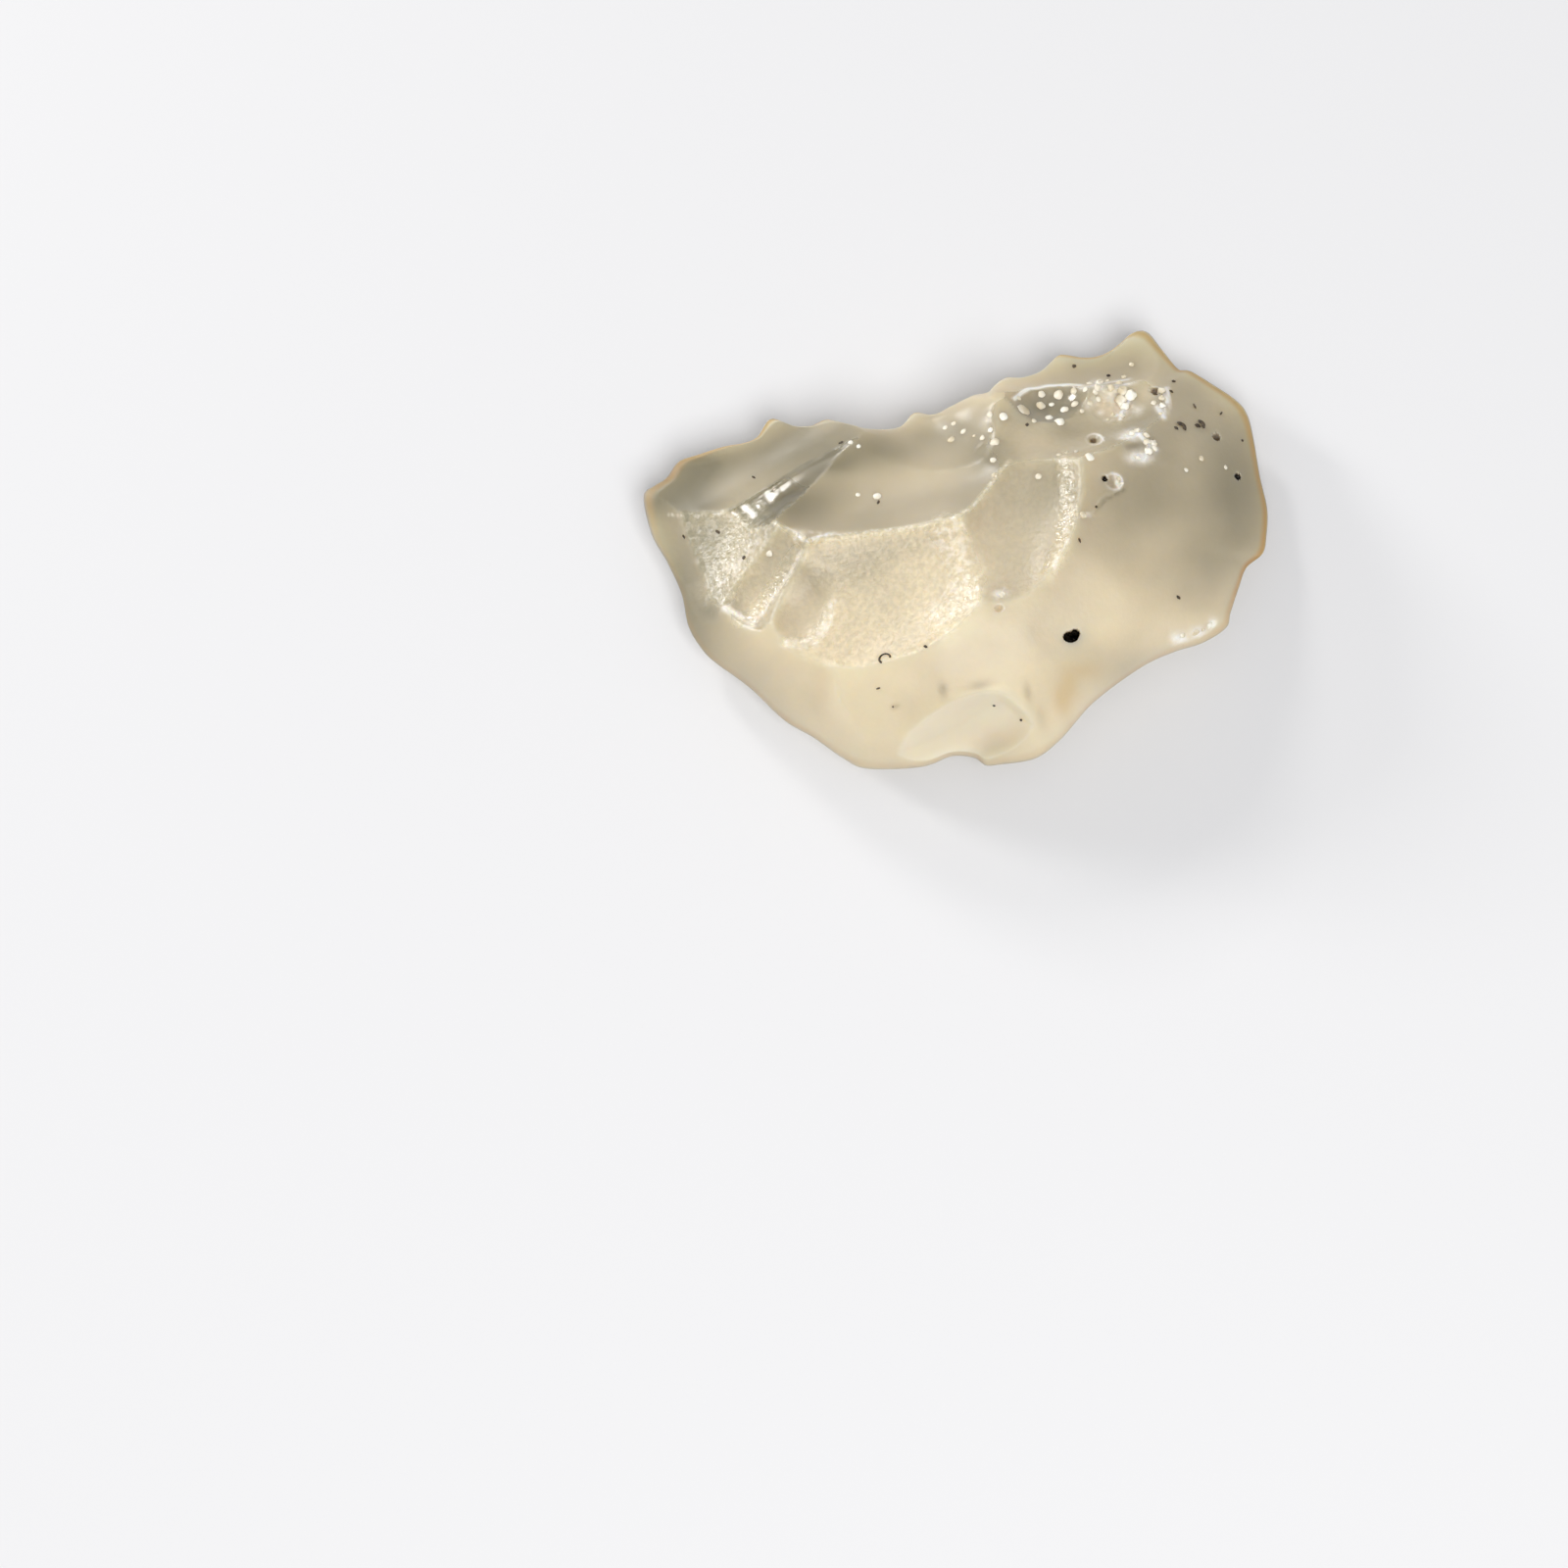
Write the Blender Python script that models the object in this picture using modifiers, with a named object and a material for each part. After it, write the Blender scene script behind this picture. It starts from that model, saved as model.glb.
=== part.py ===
"""A raw piece of Libyan desert glass, 33.4 mm long and 22.5 mm wide, built as one solid.

The piece is a flat flake of natural silica glass. It has a thin scalloped rim, a worn domed skin,
and a group of shell-shaped flake scars that meet in ridges along its back.
Millimetres are used for every named size and turned into metres by MM.
X runs along the flake, +Y points at the scalloped edge and +Z is up. The flake lies on Z = 0.
"""

import math

import bmesh
import bpy
import numpy as np
from mathutils import Euler, Matrix, Vector, noise

MM = 0.001

# Overall sizes of the finished flake
LENGTH = 33.4
WIDTH = 22.5

# The crown is a low dome: its height, the place of its top and how fast it falls along X and Y
CROWN_HEIGHT = 8.15
CROWN_X = -1.0
CROWN_Y = -1.0
CROWN_FALL_X = 0.006
CROWN_FALL_Y = 0.009

# The rim stands off the ground, a little higher along the scalloped edge
RIM_HEIGHT = 1.9
RIM_RISE = 0.04

# How the skin turns over to the rim: a higher shoulder keeps it flat for longer, and a lower
# edge power makes the rim thicker. The rim is thick on the worn side, at -Y.
SHOULDER = 3.4
THIN_EDGE = 0.95
THICK_EDGE = 0.60
THIN_SIDE = 3.0
THICK_SIDE = -7.0

# The belly is nearly flat, and its middle dips this far below the ground before the foot is cut
BELLY = 3.4
FOOT_DEPTH = 0.16

# The chips of the rim die out towards the middle, where only its calmed line is left
RIM_HOLD = 10.0
CALM_DEGREES = 16.0
RIM_STEPS = 12
RIM_READINGS = 2880

# Points of the rim as seen from above, going round from the left tip along the scalloped edge.
# A tip of the scalloped edge is followed by the hollow that a chip left in it.
RIM = [
    (-16.7, 6.9), (-16.0, 7.4), (-15.3, 7.7), (-14.5, 8.5), (-13.4, 8.7), (-11.9, 8.9),
    (-10.8, 8.9), (-10.0, 9.1), (-9.1, 10.0), (-8.0, 9.4), (-7.0, 9.2), (-6.1, 9.4),
    (-5.2, 9.0), (-4.2, 8.2), (-3.2, 7.9), (-2.3, 8.0), (-1.3, 8.9), (-0.2, 8.6),
    (0.8, 8.9), (2.1, 9.3), (2.9, 9.2), (3.4, 9.7), (4.1, 10.0), (5.0, 9.8),
    (6.0, 10.0), (7.0, 10.7), (7.5, 10.7), (8.3, 10.4), (9.2, 10.3), (10.2, 10.6),
    (11.3, 11.3), (12.1, 11.2), (12.7, 10.1), (13.4, 8.8), (14.0, 8.6), (15.0, 7.7),
    (16.1, 6.6), (16.6, 5.7), (16.7, 4.3), (16.65, 2.1), (16.7, 0.2), (16.4, -1.2),
    (16.0, -2.2), (15.0, -2.8), (14.4, -3.8), (13.7, -5.1), (13.3, -5.9), (11.9, -6.5),
    (10.4, -6.7), (8.8, -7.1), (7.0, -7.9), (5.4, -8.8), (4.3, -9.7), (3.3, -10.5),
    (1.9, -11.2), (0.0, -11.2), (-0.8, -11.1), (-1.3, -10.6), (-2.5, -10.3), (-4.2, -10.6),
    (-7.1, -10.2), (-8.3, -9.4), (-9.7, -8.0), (-11.1, -6.8), (-12.5, -4.9), (-13.4, -3.9),
    (-14.1, -3.2), (-14.8, -2.3), (-15.4, -0.8), (-15.5, 1.1), (-16.0, 3.0), (-16.6, 4.7),
]

# Flake scars. Each is the hollow that an ellipsoid bites out of the skin: the place of its
# lowest point, its three half-axes, and its lean about X and Y and turn about Z in degrees.
SCARS = {
    "edge_facet": ((-10.9, 6.1, 3.3), (22.0, 5.6, 6.5), (-35, 0, 20)),
    "glossy_groove": ((-6.0, 6.3, 4.8), (19.0, 7.0, 12.0), (-35, 0, 30)),
    "upper_hollow": ((-4.5, 3.3, 5.6), (16.5, 9.0, 10.0), (-25, -1, -2)),
    "left_frosted_scar": ((-13.0, 1.8, 3.8), (13.0, 6.3, 4.0), (-32, -11, 55)),
    "long_flute": ((-11.6, 0.4, 4.5), (4.2, 2.1, 4.7), (16, -7, 37)),
    "short_flute": ((-11.4, -0.4, 5.9), (5.7, 5.0, 8.6), (26, -18, 82)),
    "great_scar": ((-4.5, -2.1, 6.3), (11.2, 6.0, 4.6), (-4, -8, 21)),
    "right_scar": ((2.8, -1.5, 6.9), (9.6, 4.9, 5.7), (-9, 16, 68)),
    "bubble_hollow": ((8.1, 5.6, 4.8), (18.0, 4.4, 4.6), (-26, 10, 11)),
    "peak_facet": ((7.6, 9.8, 2.6), (20.5, 4.0, 7.0), (-18, 2, -5)),
    "top_lobe": ((0.8, 7.0, 3.3), (4.0, 6.0, 10.5), (-32, -2, 40)),
    "left_flank": ((-14.8, 1.7, 2.7), (5.6, 21.6, 7.5), (8, -34, -8)),
    "front_lip": ((-1.9, -10.7, 2.3), (9.5, 4.6, 11.0), (16, -11, 9)),
}

# Scars on the underside, bitten upwards between the foot and the rim
UNDER_SCARS = {
    "under_left": ((-11.0, 3.0, 1.15), (6.0, 7.0, 9.0), (188, 10, 0)),
    "under_right": ((11.5, 2.3, 1.2), (6.0, 7.0, 9.0), (180, -10, 0)),
    "under_back": ((1.0, 8.0, 1.55), (8.0, 4.0, 7.0), (194, 0, 0)),
}

# Soft hollows worn into the crown: place, reach along X and Y, and depth
WORN_HOLLOWS = {
    "right_hollow": ((11.4, -0.6), (3.0, 2.2), 0.45),
    "right_dimple": ((13.0, -3.9), (1.2, 1.5), 0.60),
    "lower_left_hollow": ((-9.6, -7.0), (2.2, 1.6), 0.35),
}

# Soft random swells of the skin: height, spacing and the seed of each set
ROLLS = [(0.20, 4.5, 3.0), (0.05, 1.6, 11.0)]

# Pits where a bubble broke the surface: place, half-axes along X and Y, and depth
PITS = {
    "great_pit": ((4.5, -6.2), (0.46, 0.32), 0.70),
    "bowl_pit": ((9.8, 6.4), (0.65, 0.55), 0.40),
    "back_ring_pit": ((11.8, 6.3), (0.45, 0.50), 0.35),
    "broken_pit": ((10.0, 3.7), (0.65, 0.75), 0.45),
    "ring_pit": ((7.8, 4.5), (0.42, 0.40), 0.40),
    "side_pit": ((8.2, 1.8), (0.45, 0.42), 0.40),
    "arc_pit": ((-5.2, -5.7), (0.34, 0.34), 0.25),
}
PIT_REACH = 0.9

# Frosted, pale straw-coloured glass
GLASS_COLOUR = (0.80, 0.72, 0.50, 1.0)
GLASS_ROUGHNESS = 0.4
GLASS_INDEX = 1.46
GLASS_CLEARNESS = 0.4

# Resolution of the solid
BLANK_SUBDIVISIONS = 7
CUTTER_SUBDIVISIONS = 5
WEAR_VOXEL = 0.16
WEAR_FACTOR = 0.5
WEAR_PASSES = 3
SOLID_TRIANGLES = 9600
SNAP_TO_FOOT = 0.05
RIDGE_ANGLE = 35.0


def clear_scene():
    """Removes what the scene holds at the start."""
    for found in list(bpy.data.objects):
        bpy.data.objects.remove(found)


def new_collection(name):
    made = bpy.data.collections.new(name)
    bpy.context.scene.collection.children.link(made)
    return made


def smooth_line(points, steps):
    """The closed smooth line through the points, as steps for each stretch."""
    start = np.array(points)
    before = np.roll(start, 1, axis=0)
    end = np.roll(start, -1, axis=0)
    after = np.roll(start, -2, axis=0)
    stretches = []
    for step in range(steps):
        t = step / steps
        place = 2 * start + (end - before) * t
        place += (2 * before - 5 * start + 4 * end - after) * t**2
        place += (3 * start - before - 3 * end + after) * t**3
        stretches.append(place / 2)
    return np.stack(stretches, axis=1).reshape(-1, 2)


class Rim:
    """The rim as its distance from the middle in every direction, true and with its chips calmed."""

    def __init__(self, points):
        x, y = smooth_line(points, RIM_STEPS).T
        angle = np.arctan2(y, x)
        self.angles = np.linspace(-math.pi, math.pi, RIM_READINGS, endpoint=False)
        self.true = np.interp(self.angles, *self.sorted(angle, np.hypot(x, y)), period=math.tau)
        waves = np.fft.rfft(self.true)
        spread = np.arange(len(waves)) * math.radians(CALM_DEGREES)
        self.calm = np.fft.irfft(waves * np.exp(-(spread**2) / 2), RIM_READINGS)

    @staticmethod
    def sorted(angle, radius):
        order = np.argsort(angle)
        return angle[order], radius[order]

    def read(self, table, angle):
        return np.interp(angle, self.angles, table, period=math.tau)


def ease(value, start, end):
    """0 before start, 1 after end and a smooth step between."""
    t = np.clip((value - start) / (end - start), 0, 1)
    return t * t * (3 - 2 * t)


def blank_points(unit, rim):
    """Where the points of a unit ball lie on the uncut flake, in millimetres."""
    angle = np.arctan2(unit[:, 1], unit[:, 0])
    reach = np.minimum(np.hypot(unit[:, 0], unit[:, 1]), 1.0)
    calm = rim.read(rim.calm, angle)
    radius = calm + (rim.read(rim.true, angle) - calm) * reach**RIM_HOLD
    x = radius * reach * np.cos(angle)
    y = radius * reach * np.sin(angle)
    side = calm * np.sin(angle)
    rim_height = RIM_HEIGHT + RIM_RISE * side
    dome = CROWN_HEIGHT - CROWN_FALL_X * (x - CROWN_X) ** 2 - CROWN_FALL_Y * (y - CROWN_Y) ** 2
    for (middle_x, middle_y), (reach_x, reach_y), depth in WORN_HOLLOWS.values():
        off = ((x - middle_x) / reach_x) ** 2 + ((y - middle_y) / reach_y) ** 2
        dome -= depth * np.exp(-off)
    thick = ease(side, THIN_SIDE, THICK_SIDE)
    power = THIN_EDGE + (THICK_EDGE - THIN_EDGE) * thick
    crown = rim_height + (dome - rim_height) * (1 - reach**SHOULDER) ** power
    belly = rim_height * reach**BELLY - FOOT_DEPTH * (1 - reach)
    z = np.where(unit[:, 2] >= 0, crown, belly)
    return np.stack((x, y, z), axis=1)


def read_points(mesh):
    places = np.empty(len(mesh.vertices) * 3)
    mesh.vertices.foreach_get("co", places)
    return places.reshape(-1, 3)


def place_points(mesh, places):
    mesh.vertices.foreach_set("co", places.ravel())
    mesh.update()


def make_blank(rim):
    """The flake before the scars: a ball pressed to the rim, the crown and the belly."""
    bpy.ops.mesh.primitive_ico_sphere_add(subdivisions=BLANK_SUBDIVISIONS, radius=1)
    blank = bpy.context.object
    unit = read_points(blank.data)
    unit /= np.linalg.norm(unit, axis=1, keepdims=True)
    places = blank_points(unit, rim)
    for place in places:
        for swell, scale, seed in ROLLS:
            place[2] += swell * noise.noise(Vector(place) / scale + Vector((seed, 0, 0)))
    place_points(blank.data, places)
    return blank


def make_cutter(name, place, half_axes, lean, cutters):
    """An ellipsoid whose lowest point, in its own leaning frame, is at place."""
    bpy.ops.mesh.primitive_ico_sphere_add(subdivisions=CUTTER_SUBDIVISIONS, radius=1)
    cutter = bpy.context.object
    cutter.name = name
    turn = Euler([math.radians(angle) for angle in lean]).to_matrix()
    centre = Vector(place) + turn @ Vector((0, 0, half_axes[2]))
    cutter.data.transform(
        Matrix.Translation(centre) @ turn.to_4x4() @ Matrix.Diagonal((*half_axes, 1))
    )
    cutter.hide_render = True
    cutter.display_type = "WIRE"
    for owner in list(cutter.users_collection):
        owner.objects.unlink(cutter)
    cutters.objects.link(cutter)
    return cutter


def apply_modifiers(body):
    """Replaces the body's mesh with what its modifiers make of it."""
    graph = bpy.context.evaluated_depsgraph_get()
    made = bpy.data.meshes.new_from_object(body.evaluated_get(graph))
    body.modifiers.clear()
    body.data = made


def cut(body, cutters):
    """Takes every cutter of the collection out of the body."""
    modifier = body.modifiers.new("cut", "BOOLEAN")
    modifier.operation = "DIFFERENCE"
    modifier.operand_type = "COLLECTION"
    modifier.collection = cutters
    modifier.solver = "EXACT"
    apply_modifiers(body)


def height_at(body, x, y):
    """The height of the body's upper side over a point, in millimetres."""
    found, place, _, _ = body.ray_cast(Vector((x, y, 2 * CROWN_HEIGHT)), Vector((0, 0, -1)))
    if not found:
        raise ValueError("a pit lies beside the flake")
    return place.z


def wear(body):
    """Rounds the ridges a little, as blown sand does."""
    remesh = body.modifiers.new("wear", "REMESH")
    remesh.mode = "VOXEL"
    remesh.voxel_size = WEAR_VOXEL
    soften = body.modifiers.new("soften", "SMOOTH")
    soften.factor = WEAR_FACTOR
    soften.iterations = WEAR_PASSES
    apply_modifiers(body)


def bring_to_size(body):
    """Gives the flake its measured length and width, with its middle over the origin."""
    places = read_points(body.data)
    low, high = places.min(axis=0), places.max(axis=0)
    places[:, :2] -= (low + high)[:2] / 2
    places[:, 0] *= LENGTH / (high - low)[0]
    places[:, 1] *= WIDTH / (high - low)[1]
    place_points(body.data, places)


def thin_out(body):
    """Brings the solid to its number of triangles."""
    thin = body.modifiers.new("thin", "DECIMATE")
    body.data.calc_loop_triangles()
    thin.ratio = SOLID_TRIANGLES / len(body.data.loop_triangles)
    apply_modifiers(body)


def cut_foot(body):
    """Makes the flat resting facet: what lies below Z = 0 is taken off and the cut is closed."""
    shape = bmesh.new()
    shape.from_mesh(body.data)
    for vertex in shape.verts:
        if abs(vertex.co.z) < SNAP_TO_FOOT:
            vertex.co.z = 0.0
    bmesh.ops.bisect_plane(
        shape,
        geom=shape.verts[:] + shape.edges[:] + shape.faces[:],
        dist=0.001,
        plane_co=(0, 0, 0),
        plane_no=(0, 0, -1),
        clear_outer=True,
    )
    flat = [face for face in shape.faces if all(v.co.z == 0.0 for v in face.verts)]
    bmesh.ops.delete(shape, geom=flat, context="FACES")
    bare = [edge for edge in shape.edges if not edge.link_faces]
    bmesh.ops.delete(shape, geom=bare, context="EDGES")
    bmesh.ops.holes_fill(shape, edges=[e for e in shape.edges if e.is_boundary], sides=0)
    bmesh.ops.triangulate(shape, faces=shape.faces[:])
    shape.to_mesh(body.data)
    shape.free()


def glass():
    """Pale straw-coloured glass with a frosted, wind-worn skin."""
    made = bpy.data.materials.new("desert_glass")
    made.use_nodes = True
    shader = made.node_tree.nodes["Principled BSDF"]
    shader.inputs["Base Color"].default_value = GLASS_COLOUR
    shader.inputs["Roughness"].default_value = GLASS_ROUGHNESS
    shader.inputs["Metallic"].default_value = 0.0
    shader.inputs["IOR"].default_value = GLASS_INDEX
    shader.inputs["Transmission Weight"].default_value = GLASS_CLEARNESS
    return made


def main():
    clear_scene()
    model = new_collection("libyan_desert_glass")
    cutters = new_collection("cutters")
    cutters.hide_render = True
    stone = make_blank(Rim(RIM))
    for name, (place, half_axes, lean) in {**SCARS, **UNDER_SCARS}.items():
        make_cutter(name, place, half_axes, lean, cutters)
    cut(stone, cutters)
    for cutter in list(cutters.objects):
        bpy.data.objects.remove(cutter)
    for name, ((x, y), (across, along), depth) in PITS.items():
        place = (x, y, height_at(stone, x, y) - depth)
        make_cutter(name, place, (across, along, PIT_REACH), (0, 0, 0), cutters)
    cut(stone, cutters)
    wear(stone)
    thin_out(stone)
    bring_to_size(stone)
    cut_foot(stone)
    stone.data.transform(Matrix.Diagonal((MM, MM, MM, 1)))
    stone.name = "desert_glass"
    stone.data.name = "desert_glass"
    stone.data.shade_smooth()
    stone.data.set_sharp_from_angle(angle=math.radians(RIDGE_ANGLE))
    stone.data.materials.clear()
    stone.data.materials.append(glass())
    for owner in list(stone.users_collection):
        owner.objects.unlink(stone)
    model.objects.link(stone)


main()
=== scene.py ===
"""A raw flake of Libyan desert glass, dressed over its solid: frosted scars, pits and grains."""

import math

import bmesh
import bpy
import numpy as np
from mathutils import Euler, Matrix, Vector, noise


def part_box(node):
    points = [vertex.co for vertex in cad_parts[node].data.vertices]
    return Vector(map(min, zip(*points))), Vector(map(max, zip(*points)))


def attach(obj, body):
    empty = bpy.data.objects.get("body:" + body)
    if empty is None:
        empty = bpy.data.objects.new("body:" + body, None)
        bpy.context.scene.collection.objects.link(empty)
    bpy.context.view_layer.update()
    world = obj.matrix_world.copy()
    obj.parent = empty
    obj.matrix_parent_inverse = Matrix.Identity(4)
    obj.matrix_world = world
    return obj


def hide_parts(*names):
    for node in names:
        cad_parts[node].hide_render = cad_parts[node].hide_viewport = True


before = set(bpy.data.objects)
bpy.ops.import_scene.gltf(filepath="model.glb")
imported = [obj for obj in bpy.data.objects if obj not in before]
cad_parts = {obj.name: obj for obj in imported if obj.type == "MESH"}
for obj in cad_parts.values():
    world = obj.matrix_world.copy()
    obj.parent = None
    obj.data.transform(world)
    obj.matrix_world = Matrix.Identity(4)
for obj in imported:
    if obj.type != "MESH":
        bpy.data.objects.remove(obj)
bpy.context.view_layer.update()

# THE FLAKE
# One piece of natural silica glass, struck off by nature and then blown over with sand for ages.
# Its mesh starts as a ball, which is pressed to the rim, the crown and the belly. Then each scar,
# hollow, bubble pit and ripple of the real surface is taken out of it. Sizes are in millimetres.

# The rim as seen from above, left tip first: small chips along the back, worn round at the front
RIM = [
    (-16.7, 6.9), (-16.0, 7.4), (-15.3, 7.7), (-14.5, 8.5), (-13.4, 8.7), (-11.9, 8.9),
    (-10.8, 8.9), (-10.0, 9.1), (-9.1, 10.0), (-8.0, 9.4), (-7.0, 9.2), (-6.1, 9.4),
    (-5.2, 9.0), (-4.2, 8.2), (-3.2, 7.9), (-2.3, 8.0), (-1.3, 8.9), (-0.2, 8.6),
    (0.8, 8.9), (2.1, 9.3), (2.9, 9.2), (3.4, 9.7), (4.1, 10.0), (5.0, 9.8),
    (6.0, 10.0), (7.0, 10.7), (7.5, 10.7), (8.3, 10.4), (9.2, 10.3), (10.2, 10.6),
    (11.3, 11.3), (12.1, 11.2), (12.7, 10.1), (13.4, 8.8), (14.0, 8.6), (15.0, 7.7),
    (16.1, 6.6), (16.6, 5.7), (16.7, 4.3), (16.65, 2.1), (16.7, 0.2), (16.4, -1.2),
    (16.0, -2.2), (15.0, -2.8), (14.4, -3.8), (13.7, -5.1), (13.3, -5.9), (11.9, -6.5),
    (10.4, -6.7), (8.8, -7.1), (7.0, -7.9), (5.4, -8.8), (4.3, -9.7), (3.3, -10.5),
    (1.9, -11.2), (0.0, -11.2), (-0.8, -11.1), (-1.3, -10.6), (-2.5, -10.3), (-4.2, -10.6),
    (-7.1, -10.2), (-8.3, -9.4), (-9.7, -8.0), (-11.1, -6.8), (-12.5, -4.9), (-13.4, -3.9),
    (-14.1, -3.2), (-14.8, -2.3), (-15.4, -0.8), (-15.5, 1.1), (-16.0, 3.0), (-16.6, 4.7),
]

# Steps from one point of the rim to the next, readings all round it, over how many degrees its
# chips are calmed further in, and how close to the rim they stay
RIM_STEPS = 12
RIM_READINGS = 2880
CALM_DEGREES = 16.0
CHIP_HOLD = 10.0

# The dome of the crown, the height of the rim and the shallow belly under it
CROWN_HEIGHT = 8.15
CROWN_MIDDLE = (-1.0, -1.0)
CROWN_FALL = (0.006, 0.009)
RIM_HEIGHT = 1.9
RIM_RISE = 0.04
SHOULDER = 3.4
THIN_EDGE = 0.95
THICK_EDGE = 0.60
THIN_SIDE = 3.0
THICK_SIDE = -7.0
BELLY = 3.4
FOOT_DEPTH = 0.16
LEAST_EDGE = 0.10

# A millimetre in metres
MM = 0.001

# Each scar is the hollow of an ellipsoid: its lowest point, its half-axes, its lean about X and Y
# and turn about Z in degrees, and how far the ridge round it is worn
SCARS = {
    "edge_facet": ((-10.9, 6.1, 3.36), (22.0, 5.6, 6.5), (-35, -1.5, 20), 0.05),
    "groove": ((-7.6, 5.8, 4.56), (19.0, 3.6, 5.0), (-27, -3.5, 27), 0.04),
    "upper_hollow": ((-4.5, 3.3, 5.6), (16.5, 9.0, 10.0), (-25, -1, -2), 0.04),
    "left_scar": ((-13.0, 1.8, 3.8), (13.0, 6.3, 4.0), (-32, -11, 55), 0.04),
    "long_flute": ((-12.25, -1.25, 4.28), (9.0, 3.3, 4.6), (-12, -19, 40), 0.04),
    "short_flute": ((-9.3, -2.2, 5.46), (4.2, 3.4, 5.0), (0, 0, 50), 0.12),
    "great_scar": ((-4.5, -2.1, 6.2), (11.2, 6.0, 4.6), (-4, -8, 21), 0.04),
    "right_scar": ((2.8, -1.5, 6.9), (9.6, 4.9, 5.7), (-9, 16, 68), 0.04),
    "bubble_hollow": ((8.1, 5.6, 4.8), (18.0, 4.4, 4.6), (-26, 10, 11), 0.12),
    "peak_facet": ((7.6, 9.8, 2.6), (20.5, 4.0, 7.0), (-18, 2, -5), 0.05),
    "top_lobe": ((0.6, 7.2, 3.75), (5.5, 7.5, 9.0), (-30, -2, 40), 0.90),
    "grain_pocket": ((6.0, 7.45, 3.88), (3.15, 3.3, 3.0), (-27, 7, 0), 0.04),
    "left_flank": ((-14.6, 1.7, 2.75), (5.6, 21.6, 7.5), (5, -36, -8), 0.05),
    "front_lip": ((-1.7, -10.5, 2.3), (9.5, 5.0, 11.0), (16, -11, 9), 0.12),
}

# How the surface of each scar is finished, from 0 to 1: its frost, its grain, its milkiness, which
# also paints shade and light, how white the chipped ridge round it is, partly a painted highlight,
# and how white all of it is, painted sparkle on the left scar and a painted reflection on the front
# lip
FINISHES = {
    "edge_facet": (0.90, 0.05, 0.55, 0.05, 0.00),
    "groove": (0.00, 0.00, 0.36, 0.10, 0.00),
    "upper_hollow": (0.70, 0.00, 0.66, 0.00, 0.00),
    "left_scar": (0.80, 0.80, 0.58, 0.10, 0.12),
    "long_flute": (0.80, 0.55, 0.60, 0.00, 0.00),
    "short_flute": (0.85, 0.40, 0.72, 0.00, 0.00),
    "great_scar": (0.70, 0.80, 0.80, 0.00, 0.00),
    "right_scar": (0.75, 0.40, 0.72, 0.00, 0.00),
    "bubble_hollow": (0.28, 0.12, 0.80, 0.00, 0.00),
    "peak_facet": (0.80, 0.05, 0.86, 0.00, 0.00),
    "top_lobe": (0.70, 0.00, 0.70, 0.00, 0.00),
    "grain_pocket": (0.00, 0.05, 0.64, 0.00, 0.00),
    "left_flank": (0.90, 0.10, 0.86, 0.00, 0.00),
    "front_lip": (0.95, 0.00, 0.88, 0.00, 0.12),
}

# The same of the blown skin that no scar reaches, and the milkiest that any glass is
SKIN = (0.85, 0.10, 0.86, 0.00, 0.00)
MOST_MILK = 0.90

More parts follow.
